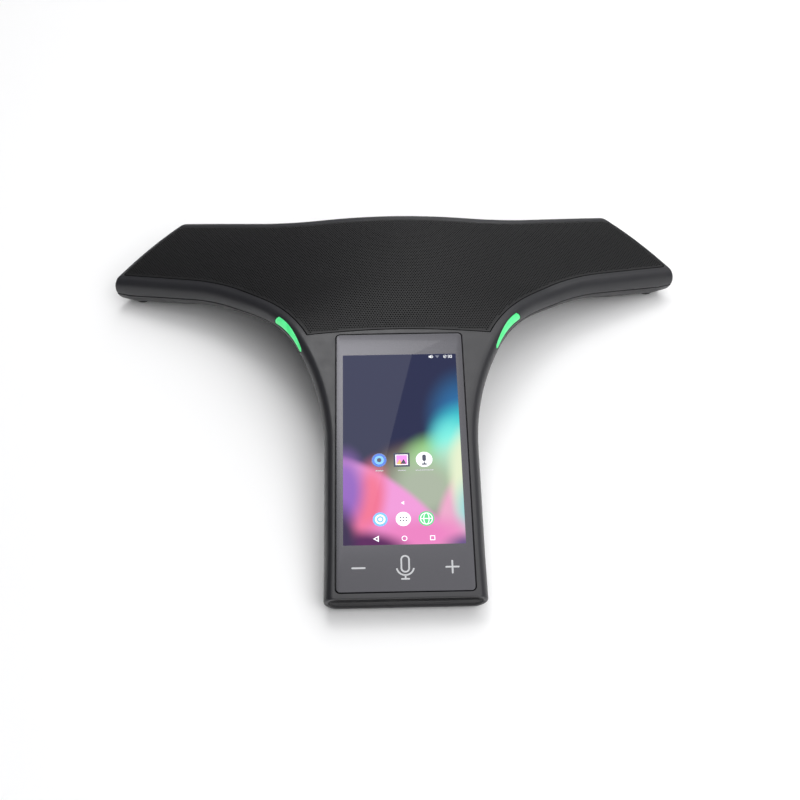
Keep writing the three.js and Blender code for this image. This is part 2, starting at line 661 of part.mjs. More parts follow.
// Leads from the microphones and the loudspeaker to the main board.
const WING_LEAD = [[145.6, 241.4, 15.6], [131, 222, 19], [97, 206, 26], [64, 180, 31], [33.8, 141, 33.7]];
const LEADS = {
  mic_lead_front: [[8, 10.4, 11], [8, 24, 9.6], [8, 42.2, 12.9]],
  mic_lead_right: WING_LEAD,
  mic_lead_left: WING_LEAD.map(([x, y, z]) => [-x, y, z]),
  speaker_lead: [[-20, 171.5, 35.3], [-20, 160, 31.5], [-20, 149.2, 34.7]],
};

// ---- the assembly --------------------------------------------------------------------------------

const phone = new THREE.Group();
phone.position.y = -PLAN_MIDDLE;

function add(name, geometry, material, parent = phone) {
  const mesh = new THREE.Mesh(geometry, material);
  mesh.name = name;
  parent.add(mesh);
  return mesh;
}

add("top_shell", topShell(), SHELL);
add("bottom_shell", bottomShell(), BASE_PLASTIC);
add("speaker_grille", grille(), MESH_METAL);

const deck = new THREE.Group();
deck.applyMatrix4(deckMatrix);
phone.add(deck);
add("touch_glass", glassPlate(0, [-GLASS.thickness, 0]), COVER_GLASS, deck);
add("screen_panel", screenBlock(0, [SCREEN_BACK, -GLASS.thickness - GAP]), SCREEN, deck);
add("screen_bracket", screenBracket(), STEEL, deck);
add("main_board", mainBoard(), BOARD, deck);
add("screen_ribbon", screenRibbon(), RIBBON, deck);
add("wireless_aerial", wirelessAerial(), BOARD, deck);

for (const [name, side] of [["right", 1], ["left", -1]]) {
  add(`light_bar_${name}`, lightBlock(side, 0, 0.15, LIGHT.depth), LENS);
  add(`light_board_${name}`, lightBlock(side, 0, LIGHT.depth + GAP, LIGHT.depth + LIGHT.board), BOARD);
}

for (const [name, { matrix, ...slot }] of Object.entries(ENDS)) {
  const end = new THREE.Group();
  end.applyMatrix4(matrix);
  phone.add(end);
  add(`end_insert_${name}`, endInsert(slot), INSERT, end);
  add(`mic_boot_${name}`, micBoot(), RUBBER, end);
  add(`mic_board_${name}`, micBoard(), BOARD, end);
}

const speaker = new THREE.Group();
speaker.position.set(0, SPEAKER.y, SPEAKER.z);
phone.add(speaker);
add("speaker_frame", speakerFrame(), STEEL, speaker);
add("speaker_yoke", speakerYoke(), ZINC, speaker);
add("speaker_magnet", speakerMagnet(), FERRITE, speaker);
add("speaker_top_plate", speakerTopPlate(), ZINC, speaker);
add("voice_coil", voiceCoil(), COPPER, speaker);
add("speaker_spider", speakerSpider(), RIBBON, speaker);
add("speaker_cone", speakerCone(), PAPER, speaker);
add("speaker_dust_cap", dustCap(), PAPER, speaker);
add("speaker_surround", speakerSurround(), RUBBER, speaker);
add("speaker_gasket", tube(SPEAKER.flange - 4.4, SPEAKER.flange - 0.6, [GAP, GASKET]), RUBBER, speaker);
speakerScrewPoints().forEach((at, k) => add(`speaker_screw_${k + 1}`, speakerScrew(at), STEEL, speaker));

for (const [name, points] of Object.entries(LEADS)) add(name, lead(points), RUBBER);

add("port_board", portBoard(), BOARD);
add("port_panel", portPanel(), BASE_PLASTIC);
add("network_socket", networkSocket(), ZINC);
add("usb_socket", usbSocket(), STEEL);
add("audio_socket", audioSocket(), INSERT);
add("reset_button", resetButton(), INSERT);
add("reset_switch", resetSwitch(), STEEL);

for (const [name, { at, length }] of Object.entries(FEET)) {
  add(`foot_${name}`, foot(at, length), RUBBER);
}
screwPoints.forEach((at, k) => add(`cover_screw_${k + 1}`, coverScrew(at), STEEL));
add("rating_plate", ratingPlate(), LABEL);

export default phone;
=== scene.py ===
"""The looks of a T-shaped conference phone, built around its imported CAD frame.

Metres throughout. Shapes are worked out in plan coordinates: X to the right, Y from the front edge
of the deck to the back, Z up from the table. add_piece() moves them to the frame's own origin.
"""

import json
import math

import bpy
import numpy as np
from mathutils import Matrix, Vector


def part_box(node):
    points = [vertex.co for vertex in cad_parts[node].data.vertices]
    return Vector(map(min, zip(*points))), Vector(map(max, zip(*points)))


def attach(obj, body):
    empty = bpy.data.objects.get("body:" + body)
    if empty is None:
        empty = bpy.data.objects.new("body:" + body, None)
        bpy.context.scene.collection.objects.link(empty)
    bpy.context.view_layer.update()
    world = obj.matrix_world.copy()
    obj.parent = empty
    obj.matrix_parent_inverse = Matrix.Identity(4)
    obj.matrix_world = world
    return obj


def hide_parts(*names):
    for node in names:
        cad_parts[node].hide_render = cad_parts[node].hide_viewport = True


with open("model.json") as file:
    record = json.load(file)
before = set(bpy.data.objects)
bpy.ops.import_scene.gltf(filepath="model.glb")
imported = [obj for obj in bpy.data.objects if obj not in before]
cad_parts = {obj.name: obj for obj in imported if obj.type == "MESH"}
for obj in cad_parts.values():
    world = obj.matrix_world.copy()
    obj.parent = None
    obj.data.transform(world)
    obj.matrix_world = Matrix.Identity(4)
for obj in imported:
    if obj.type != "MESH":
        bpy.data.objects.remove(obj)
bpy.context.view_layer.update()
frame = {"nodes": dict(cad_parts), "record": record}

# ---- driving dimensions, as in the CAD source ----

GAP = 0.0003
WALL = 0.0022
PLAN_MIDDLE = 0.13663  # Y of the frame's origin
TILT = math.radians(12)
TIP_TOP = 0.0165


def corner(x, y, radius, steps, hollow=False):
    return {"x": x, "y": y, "radius": radius, "steps": steps, "hollow": hollow}


FRONT = corner(0.0412, 0.0019, 0.0012, 6)
WAIST = corner(0.0412, 0.1745, 0.128, 84, hollow=True)
WING_FRONT = corner(0.1749, 0.2239, 0.0012, 6)
WING_BACK = corner(0.1312, 0.2719, 0.003, 8)
BACK = corner(0.064, 0.2532, 0.150, 20, hollow=True)
FRONT_LEAN = 0.0019
WING_LEAN = 0.0019
CUT_ROUND = 0.0005

SPINE = {
    "y": 0.196, "sweep": 0.37, "sweep_start": 0.040, "z": 0.0543, "fall": 0.262, "ridge": 0.050, "crown": 2.6,
}
BLEND = (0.145, 0.195)
HUB_Y = 0.190

SHOULDER = 0.0052
FLANK = {"low": 0.0188, "low_top": 0.022, "taper": 0.21}
WIDEST = 0.45
PARTING = 0.56
UNDERCUT = 0.0045
BASE = 0.003
FLOOR = 0.0024
HULL_SLOPE = 0.9
CEILING = 0.0036

GLASS = {"width": 0.0696, "start": 0.0052, "end": 0.1535, "thickness": 0.0018, "corner": 0.0022}
PANEL = {"width": 0.0621, "height": 0.1104, "middle": 0.085}
GRILLE = {"rim": 0.007, "end_rim": 0.0012, "front": 0.1506, "arch": 0.0026, "recess": 0.0013}
LIGHT = {"start": 26.6, "stop": 39.2, "low": (0.38, 0.395), "high": (0.225, 0.115), "bow": 0.065}
SLOT = {
    "front": {"width": 0.077, "height": 0.0108},
    "wing": {"width": 0.055, "height": 0.0126},
    "middle": 0.48,
    "depth": 0.0006,
}
SPEAKER = {"y": HUB_Y, "flange": 0.034, "ledge": 0.005}
BAY = {"half_width": 0.036, "y": 0.223, "low": 0.007, "high": 0.026, "frame": (0.003, 0.0012, 0.0016)}
BOSS = {"radius": 0.005, "top": 0.009, "hole": 0.0017, "head_room": 0.0034}

# ---- heights and outline ----


def blend_share(value, low, high):
    share = np.clip((value - low) / (high - low), 0, 1)
    return share * share * (3 - 2 * share)


def top_height(x, y):
    """Height of the top surface: a sloping deck that turns into a crown along the spine."""
    deck = TIP_TOP + y * math.tan(TILT)
    swept = np.hypot(x, SPINE["sweep_start"]) - SPINE["sweep_start"]
    fallen = np.hypot(x, SPINE["ridge"]) - SPINE["ridge"]
    spine_y = SPINE["y"] + SPINE["sweep"] * swept
    crown = SPINE["z"] - SPINE["fall"] * fallen - SPINE["crown"] * (y - spine_y) ** 2
    share = blend_share(y, *BLEND)
    return deck * (1 - share) + crown * share


def flank_height(top):
    tapered = FLANK["low"] - FLANK["taper"] * np.maximum(top - FLANK["low_top"], 0)
    return np.minimum(top - BASE - 0.0006, tapered)


def flank_inset(share):
    """How far the flank stands in from the widest outline, at a share of its height."""
    if share < WIDEST:
        return SHOULDER * (1 - math.sqrt(1 - (1 - share / WIDEST) ** 2))
    turn = 0.9 * (share - WIDEST) / (1 - WIDEST)
    return UNDERCUT * (1 - math.sqrt(1 - turn**2)) / (1 - math.sqrt(1 - 0.9**2))


RIGHT = [FRONT, WAIST, WING_FRONT, WING_BACK, BACK]
CORNERS = RIGHT + [{**c, "x": -c["x"]} for c in reversed(RIGHT)]
RUNS = [50, 30, 32, 28, 44, 28, 32, 30, 50, 40]  # pieces in the straight run after each corner
LEANS = {2: WING_LEAN, 6: WING_LEAN, 9: FRONT_LEAN}  # the runs that are the flat cuts of the arms


def make_outline(side, end, lean):
    """The body's outline in plan: flanks moved in by side, cuts by end and a share of their lean."""
    edges = []
    for i, a in enumerate(CORNERS):
        b = CORNERS[(i + 1) % len(CORNERS)]
        along = np.array([b["x"] - a["x"], b["y"] - a["y"]])
        along /= np.linalg.norm(along)
        inward = np.array([-along[1], along[0]])
        inset = end + lean * LEANS[i] if i in LEANS else side
        edges.append((np.array([a["x"], a["y"]]) + inward * inset, along))
    arcs = []
    for i, c in enumerate(CORNERS):
        (start, before), (next_start, after) = edges[i - 1], edges[i]
        bend = before[0] * after[1] - before[1] * after[0]
        step = next_start - start
        reach_to_vertex = (step[0] * after[1] - step[1] * after[0]) / bend
        vertex = start + before * reach_to_vertex
        sense = -1 if c["hollow"] else 1
        radius = c["radius"] + (side if c["hollow"] else 0)
        turn = abs(math.asin(np.clip(bend, -1, 1)))
        if before @ after < 0:
            turn = math.pi - turn
        normal = np.array([-before[1], before[0]]) * sense
        centre = vertex - before * radius * math.tan(turn / 2) + normal * radius
        angles = sense * turn * np.arange(c["steps"] + 1) / c["steps"]
        spoke = -normal * radius
        cos, sin = np.cos(angles), np.sin(angles)
        turned = np.column_stack([spoke[0] * cos - spoke[1] * sin, spoke[0] * sin + spoke[1] * cos])
        arcs.append(centre + turned)
    parts = []
    for i, arc in enumerate(arcs):
        shares = (np.arange(1, RUNS[i]) / RUNS[i])[:, None]
        parts += [arc, arc[-1] * (1 - shares) + arcs[(i + 1) % len(arcs)][0] * shares]
    return np.vstack(parts)


# Every point of the outline moves in a straight line as the insets grow.
UNIT = 0.001
HAIR = 0.0001  # keeps the finer curves inside the box of the faceted CAD
FLAT = 0.00001  # half of the straight side left at each round end of a stadium shape
PLAIN = make_outline(0, 0, 0)
SIDE_IN = (make_outline(UNIT, 0, 0) - PLAIN) / UNIT
END_IN = (make_outline(0, UNIT, 0) - PLAIN) / UNIT
LEAN_IN = make_outline(0, 0, 1) - PLAIN


def outline(side, end, lean=0.0):
    side, end = (np.reshape(value, (-1, 1)) + HAIR for value in (side, end))
    return PLAIN + SIDE_IN * side + END_IN * end + LEAN_IN * lean


def on_top(xy, drop=0.0):
    """Points of the plan, laid on the top surface or a drop below it."""
    return np.column_stack([xy, top_height(xy[:, 0], xy[:, 1]) - drop])


EDGE = outline(SHOULDER, CUT_ROUND)
EDGE_TOP = top_height(EDGE[:, 0], EDGE[:, 1])
FLANK_HEIGHT = flank_height(EDGE_TOP)


def flank_ring(share, depth=0.0, lift=0.0):
    drop = share * FLANK_HEIGHT
    left = np.clip(1 - drop / CUT_ROUND, 0, 1)
    rounded = CUT_ROUND * (1 - np.sqrt(1 - left**2))
    xy = outline(flank_inset(share) + depth, rounded + depth, share)
    return np.column_stack([xy, EDGE_TOP - drop + lift])


def hull_ring(way, depth=0.0, lift=0.0):
    """A ring on the slope of the underside, from the flank's foot (0) to the flat base (1)."""
    fall = EDGE_TOP - FLANK_HEIGHT - BASE
    run = way * (0.001 + fall * HULL_SLOPE) + depth
    xy = outline(UNDERCUT + run, run, 1)
    return np.column_stack([xy, BASE + fall * (1 - way) + lift])


def crown_rings(rim, drop, middle_y, shares):
    middle = np.array([0, middle_y])
    return [on_top(middle + (rim - middle) * share, drop) for share in shares]


def crown_point(y, drop):
    return np.array([0, y, top_height(0, y) - drop])


# Shares of the flank height down the rounded shoulder, closest together at its top.
SHOULDER_SHARES = [WIDEST * (1 - math.cos(math.radians(a))) for a in range(0, 91, 9)]
LOWER_SHARES = list(np.linspace(WIDEST, 1, 12))[1:]
RING_SHARES = list(np.linspace(0.08, 0.96, 12))

# ---- meshes ----


def strips(rings, closed=False):
    """Faces between rings of equal length, as vertex numbers."""
    count = len(rings[0])
    here = np.arange(count)
    after = np.roll(here, -1)
    pairs = [(i, i + 1) for i in range(len(rings) - 1)] + ([(len(rings) - 1, 0)] if closed else [])
    faces = []
    for a, b in pairs:
        corners = [here + a * count, here + b * count, after + b * count, after + a * count]
        faces += np.column_stack(corners).tolist()
    return faces


def loft(first, rings, last):
    """A closed skin over rings. Each end closes on a point, or flat where that is None."""
    count = len(rings[0])
    points = np.vstack([*rings] + [[p] for p in (first, last) if p is not None])
    faces = strips(rings)
    base = (len(rings) - 1) * count
    apex = base + count
    if first is None:
        faces.append(list(range(count)))
    else:
        faces += [[apex, i, (i + 1) % count] for i in range(count)]
        apex += 1
    if last is None:
        faces.append(list(range(base + count - 1, base - 1, -1)))
    else:
        faces += [[apex, base + (i + 1) % count, base + i] for i in range(count)]
    return points, faces


def stack(rings):
    return loft(None, rings, None)


def hoop(rings):
    """A closed band: rings that run round a section and meet again."""
    return np.vstack(rings), strips(rings, closed=True)


def level_ring(xy, z):
    return np.column_stack([xy, np.full(len(xy), z)])


def facing_back(xz, y):
    return np.column_stack([xz[:, 0], np.full(len(xz), y), xz[:, 1]])


def mesh_from(points, faces):
    mesh = bpy.data.meshes.new("mesh")
    mesh.from_pydata(np.asarray(points).tolist(), [], faces)
    mesh.update()
    return mesh


def loose(shape, turned_out=True):
    """An object that isn't a piece yet, for cutting and joining."""
    obj = bpy.data.objects.new("shape", mesh_from(*shape))
    bpy.context.scene.collection.objects.link(obj)
    if turned_out and volume(obj.data) < 0:
        obj.data.flip_normals()
    return obj


def volume(mesh):
    mesh.calc_loop_triangles()
    points = np.array([v.co for v in mesh.vertices])
    corners = np.array([t.vertices for t in mesh.loop_triangles])
    a, b, c = points[corners[:, 0]], points[corners[:, 1]], points[corners[:, 2]]
    return float(np.einsum("ij,ij->i", a, np.cross(b, c)).sum()) / 6


def combine(obj, tool, operation="DIFFERENCE"):
    modifier = obj.modifiers.new("combine", "BOOLEAN")
    modifier.object = tool
    modifier.operation = operation
    modifier.solver = "MANIFOLD"
    bpy.context.view_layer.update()
    made = bpy.data.meshes.new_from_object(obj.evaluated_get(bpy.context.evaluated_depsgraph_get()))
    obj.modifiers.clear()
    obj.data = made
    bpy.data.objects.remove(tool)
    return obj


def box_shape(x, y, z):
    corners = [(x[0], y[0]), (x[1], y[0]), (x[1], y[1]), (x[0], y[1])]
    return stack([np.array([(px, py, height) for px, py in corners]) for height in z])


def finish_piece(obj, name, materials, body="phone", slot=None, replaces=(), smooth=35):
    """Names a shape, moves it to the frame's origin, paints it and makes it ride."""
    obj.name = name
    obj.data.name = name
    obj.data.transform(Matrix.Translation((0, -PLAN_MIDDLE, 0)))
    if obj.data.materials:
        obj.data.materials.clear()
    for material in materials if isinstance(materials, list) else [materials]:
        obj.data.materials.append(material)
    if smooth:
        obj.data.shade_smooth()
        obj.data.set_sharp_from_angle(angle=math.radians(smooth))
    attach(obj, body)
    if replaces:
        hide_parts(*replaces)
    return obj


def add_piece(name, shape, materials, **options):
    return finish_piece(loose(shape), name, materials, **options)


def rounded_rect(width, height, radius, steps=8):
    """Points round a rectangle with rounded corners, centred on the origin."""
    angles = np.radians(np.linspace(0, 90, steps + 1))
    points = []
    for k, (sx, sy) in enumerate([(1, 1), (-1, 1), (-1, -1), (1, -1)]):
        centre = np.array([sx * (width / 2 - radius), sy * (height / 2 - radius)])
        turn = angles + k * math.pi / 2
        points.append(centre + radius * np.column_stack([np.cos(turn), np.sin(turn)]))
    return np.vstack(points)


def with_long_sides_cut(ring, pieces):
    """The ring with its long straight sides cut into pieces, so that it can be bent."""
    ends = np.roll(ring, -1, axis=0)
    lengths = np.linalg.norm(ends - ring, axis=1)
    counts = np.where(lengths > 0.2 * lengths.sum(), pieces, 1)
    return np.concatenate([
        start + (end - start) * np.arange(count)[:, None] / count
        for start, end, count in zip(ring, ends, counts)
    ])


def edge_depth(points, polygon):
    """How deep points lie inside a polygon, negative outside, and the way in from its nearest edge."""
    a, b = polygon, np.roll(polygon, -1, axis=0)
    ab = b - a
    depth = np.empty(len(points))
    inward = np.empty((len(points), 2))
    for start in range(0, len(points), 4000):
        p = points[start : start + 4000, None, :]
        t = np.clip(((p - a) * ab).sum(2) / (ab**2).sum(1), 0, 1)
        away = p - (a + ab * t[..., None])
        distance = np.hypot(away[..., 0], away[..., 1])
        nearest = distance.argmin(1)
        rows = np.arange(len(nearest))
        crosses = (a[:, 1] > p[..., 1]) != (b[:, 1] > p[..., 1])
        with np.errstate(divide="ignore", invalid="ignore"):
            cut_x = a[:, 0] + (p[..., 1] - a[:, 1]) / ab[:, 1] * ab[:, 0]
        inside = (crosses & (p[..., 0] < cut_x)).sum(1) % 2 == 1
        sign = np.where(inside, 1.0, -1.0)
        found = distance[rows, nearest]
        depth[start : start + 4000] = sign * found
        inward[start : start + 4000] = away[rows, nearest] / np.maximum(found, 1e-9)[:, None] * sign[:, None]
    return depth, inward


def perforated(polygon, pitch, hole, border, tuck, surface, thickness, keep=None):
    """A sheet with a staggered grid of round holes up to a plain border. Its ragged edge is tucked in."""
    row = pitch * math.sqrt(3) / 2
    low, high = polygon.min(0), polygon.max(0)
    across = np.arange(math.floor(low[0] / pitch) - 1, math.ceil(high[0] / pitch) + 2)
    up = np.arange(math.floor(low[1] / row) - 1, math.ceil(high[1] / row) + 2)
    i, j = (grid.ravel() for grid in np.meshgrid(across, up))
    centres = np.column_stack([(i + 0.5 * (j % 2)) * pitch, j * row])
    if keep is not None:
        centres = centres[keep(centres)]
    depth, _ = edge_depth(centres, polygon)
    centres, depth = centres[depth > tuck], depth[depth > tuck]
    spokes = np.radians(30 + 60 * np.arange(6))
    star = np.column_stack([np.cos(spokes), np.sin(spokes)])
    corners = (centres[:, None, :] + star * pitch / math.sqrt(3)).reshape(-1, 2)
    corners, number = np.unique(np.round(corners, 7), axis=0, return_inverse=True)
    number = number.reshape(-1, 6)
    corner_depth, inward = edge_depth(corners, polygon)
    short = corner_depth < tuck
    corners[short] += inward[short] * (tuck - corner_depth[short])[:, None]
    sizes = hole(centres) if callable(hole) else np.full(len(centres), hole)
    open_cells = depth > border + sizes
    # A six-sided hole of the same area as a round one.
    hexagons = star * (sizes * math.sqrt(2 * math.pi / (3 * math.sqrt(3))))[open_cells, None, None]
    rims = (centres[open_cells][:, None, :] + hexagons).reshape(-1, 2)
    points = np.vstack([surface(corners, 0), surface(rims, 0), surface(rims, thickness)])
    upper = len(corners) + np.arange(len(rims)).reshape(-1, 6)
    lower = upper + len(rims)
    faces = number[~open_cells].tolist()
    outer = number[open_cells]
    for k in range(6):
        n = (k + 1) % 6
        faces += np.column_stack([outer[:, k], outer[:, n], upper[:, n], upper[:, k]]).tolist()
        faces += np.column_stack([upper[:, k], upper[:, n], lower[:, n], lower[:, k]]).tolist()
    return points, faces


def circle_points(x, y, radius, steps=32):
    turn = np.radians(360 * np.arange(steps) / steps)
    return np.column_stack([x + radius * np.cos(turn), y + radius * np.sin(turn)])


def disc_rings(x, y, section, steps=40):
    return [level_ring(circle_points(x, y, radius, steps), z) for radius, z in section]


def node_plan_box(node):
    """A CAD node's box in plan coordinates."""
    low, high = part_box(node)
    return low + Vector((0, PLAN_MIDDLE, 0)), high + Vector((0, PLAN_MIDDLE, 0))


# ---- frames: the sloping deck and the three arm ends ----

DECK = Matrix.Translation((0, 0, TIP_TOP)) @ Matrix.Rotation(TILT, 4, "X")


def placed(matrix, points):
    m = np.array(matrix)
    return np.asarray(points) @ m[:3, :3].T + m[:3, 3]


def on_deck(xy, height=0.0):
    return placed(DECK, level_ring(xy, height))


def end_matrix(a, b, lean):
    """The middle of an arm's cut: X along it, Y straight out, Z up the cut."""
    start, stop = (np.array([c["x"], c["y"]]) for c in (a, b))
    along = (stop - start) / np.linalg.norm(stop - start)
    middle = (start + stop) / 2
    reach = 0.02
    high, at, low = (top_height(*(middle + along * t)) for t in (-reach, 0, reach))
    drop = flank_height(at)
    x = Vector((-along[0], -along[1], (high - low) / (2 * reach))).normalized()
    down = Vector((-along[1] * lean, along[0] * lean, -drop)).normalized()
    y = x.cross(down).normalized()
    z = x.cross(y)
    inset = SLOT["middle"] * lean
    matrix = Matrix((x, y, z)).transposed().to_4x4()
    x, y = middle + np.array([-along[1], along[0]]) * inset
    matrix.translation = (x, y, at - SLOT["middle"] * drop)
    return matrix


LEFT_FRONT, LEFT_WING_FRONT, LEFT_WING_BACK = (
    {**c, "x": -c["x"]} for c in (FRONT, WING_FRONT, WING_BACK)
)
ENDS = {
    "front": (end_matrix(LEFT_FRONT, FRONT, FRONT_LEAN), SLOT["front"]),
    "right": (end_matrix(WING_FRONT, WING_BACK, WING_LEAN), SLOT["wing"]),
    "left": (end_matrix(LEFT_WING_BACK, LEFT_WING_FRONT, WING_LEAN), SLOT["wing"]),
}


def end_ring(end, inset, depth):
    """A ring round an end's stadium-shaped recess, at a depth behind the cut."""
    matrix, size = ENDS[end]
    height = size["height"] - 2 * inset
    xz = rounded_rect(size["width"] - 2 * inset, height, height / 2 - FLAT, 12)
    return placed(matrix, facing_back(xz, -depth))


# ---- materials ----


class Look:
    """A node material under construction: a Principled shader and a few helpers."""

    def __init__(self, name, roughness=0.5, metallic=0.0, **sockets):
        self.material = bpy.data.materials.new(name)
        self.material.use_nodes = True
        self.tree = self.material.node_tree
        self.shader = self.tree.nodes["Principled BSDF"]
        for socket, value in {"Roughness": roughness, "Metallic": metallic, **sockets}.items():
            self.set(socket.replace("_", " "), value)
        self.place = self.node("TexCoord", "Object")

    def set(self, socket, value):
        self.shader.inputs[socket].default_value = value

    def feed(self, socket, output):
        self.tree.links.new(output, self.shader.inputs[socket])

    def node(self, kind, output, inputs=(), **settings):
        """A new node's output. Each input is a socket with its value or what is linked to it."""
        node = self.tree.nodes.new("ShaderNode" + kind)
        for name, setting in settings.items():
            setattr(node, name, setting)
        for socket, value in inputs:
            if isinstance(value, bpy.types.NodeSocket):
                self.tree.links.new(value, node.inputs[socket])
            else:
                node.inputs[socket].default_value = value
        return node.outputs[output]

    def mapped(self, scale=(1, 1, 1), location=(0, 0, 0), rotation=(0, 0, 0), place=None, kind="POINT"):
        inputs = [("Vector", place or self.place), ("Location", location)]
        inputs += [("Rotation", rotation), ("Scale", scale)]
        return self.node("Mapping", "Vector", inputs, vector_type=kind)

    def length(self, vector):
        return self.node("VectorMath", "Value", [(0, vector)], operation="LENGTH")

    def math(self, operation, a, b):
        return self.node("Math", "Value", [(0, a), (1, b)], operation=operation)

    def noise(self, scale, detail=2.0, place=None):
        inputs = [("Vector", place or self.place), ("Scale", scale), ("Detail", detail)]
        return self.node("TexNoise", "Fac", inputs)

    def cells(self, scale):
        return self.node("TexVoronoi", "Distance", [("Vector", self.place), ("Scale", scale)])

    def wave(self, scale, direction, distortion=0.0):
        inputs = [("Vector", self.place), ("Scale", scale), ("Distortion", distortion)]
        return self.node("TexWave", "Fac", inputs, bands_direction=direction)

    def span(self, value, low, high, start=0.3, stop=0.7, easing="LINEAR"):
        """A value carried from one range to another."""
        inputs = [("Value", value), ("From Min", start), ("From Max", stop)]
        inputs += [("To Min", low), ("To Max", high)]
        return self.node("MapRange", "Result", inputs, interpolation_type=easing)

    def mix(self, share, a, b):
        a, b = ((*c, 1.0) if isinstance(c, tuple) else c for c in (a, b))
        return self.node("Mix", 2, [("Factor", share), (6, a), (7, b)], data_type="RGBA")

    def paint(self, share, a, b):
        self.feed("Base Color", self.mix(share, a, b))

    def roughen(self, value, low, high):
        self.feed("Roughness", self.span(value, low, high))

    def bump(self, *layers):
        """Each layer is (height, strength, distance)."""
        under = []
        for height, strength, distance in layers:
            inputs = [("Height", height), ("Strength", strength), ("Distance", distance)]
            under = [("Normal", self.node("Bump", "Normal", inputs + under))]
        self.feed(*under[0])


def shade(colour, factor):
    return tuple(min(1.0, value * factor) for value in colour)


def moulded(name, colour, roughness, grain=5200, depth=0.00003, strength=0.25):
    """Moulded plastic: a fine spark texture, faint flow clouding and a little uneven gloss."""
    look = Look(name, roughness)
    fine = look.noise(grain)
    tone = look.mix(look.span(look.noise(24, 3), 0, 1), shade(colour, 0.93), shade(colour, 1.07))
    look.paint(look.span(fine, 0, 1, 0.35, 0.75), tone, shade(colour, 1.12))
    look.roughen(look.noise(160, 3), roughness - 0.04, roughness + 0.05)
    look.bump((fine, strength, depth), (look.cells(grain * 0.45), strength * 0.6, depth))
    return look.material


def coated_metal(name, colour, roughness, metallic=0.0, **sockets):
    """Powder-coated sheet: tiny orange peel and slight mottling."""
    look = Look(name, roughness, metallic, **sockets)
    peel = look.noise(2600)
    look.paint(look.span(look.noise(45, 3), 0, 1), shade(colour, 0.9), shade(colour, 1.1))
    look.roughen(peel, roughness - 0.05, roughness + 0.06)
    look.bump((peel, 0.3, 0.00002))
    return look.material


def brushed(name, colour, roughness, along=(60, 4000, 4000)):
    """Drawn or brushed metal, with its scratches in one direction."""
    look = Look(name, roughness, 1.0)
    scratches = look.noise(1.0, 3, look.mapped(scale=along))
    look.paint(look.span(scratches, 0, 1), shade(colour, 0.86), shade(colour, 1.08))
    look.roughen(scratches, roughness - 0.07, roughness + 0.1)
    look.bump((scratches, 0.2, 0.00002))
    return look.material


def rubber(name, colour):
    """Moulded rubber: dull, with a fine pebbled skin and dust-pale high spots."""
    look = Look(name)
    look.paint(look.span(look.noise(90, 4), 0, 1, 0.35, 0.75), colour, shade(colour, 1.5))
    look.roughen(look.noise(300), 0.76, 0.9)
    look.bump((look.cells(2400), 0.35, 0.00004))
    return look.material


def woven(name, colour, threads=533):
    """Acoustic cloth: two sets of threads that cross."""
    look = Look(name, 0.95)
    weave = look.math("MULTIPLY", look.wave(threads, "X"), look.wave(threads, "Y"))
    look.paint(weave, shade(colour, 0.4), colour)
    look.bump((weave, 0.6, 0.0001))
    return look.material


def circuit(name):
    """Solder mask over copper: slightly raised tracks, lighter than the ground."""
    look = Look(name, 0.38)
    off_centre = look.math("SUBTRACT", look.wave(130, "X", 4.0), 0.5)
    track = look.math("GREATER_THAN", look.math("ABSOLUTE", off_centre, 0.0), 0.38)
    crossing = look.math("GREATER_THAN", look.wave(95, "Y", 3.0), 0.86)
    copper = look.math("MAXIMUM", track, crossing)
    look.paint(copper, (0.006, 0.055, 0.022), (0.015, 0.13, 0.05))
    look.bump((copper, 0.4, 0.00003))
    return look.material


def paper(name, colour):
    look = Look(name, 0.9)
    fibre = look.noise(1500, 6)
    look.paint(fibre, shade(colour, 0.6), shade(colour, 1.5))
    look.bump((fibre, 0.5, 0.00006))
    return look.material


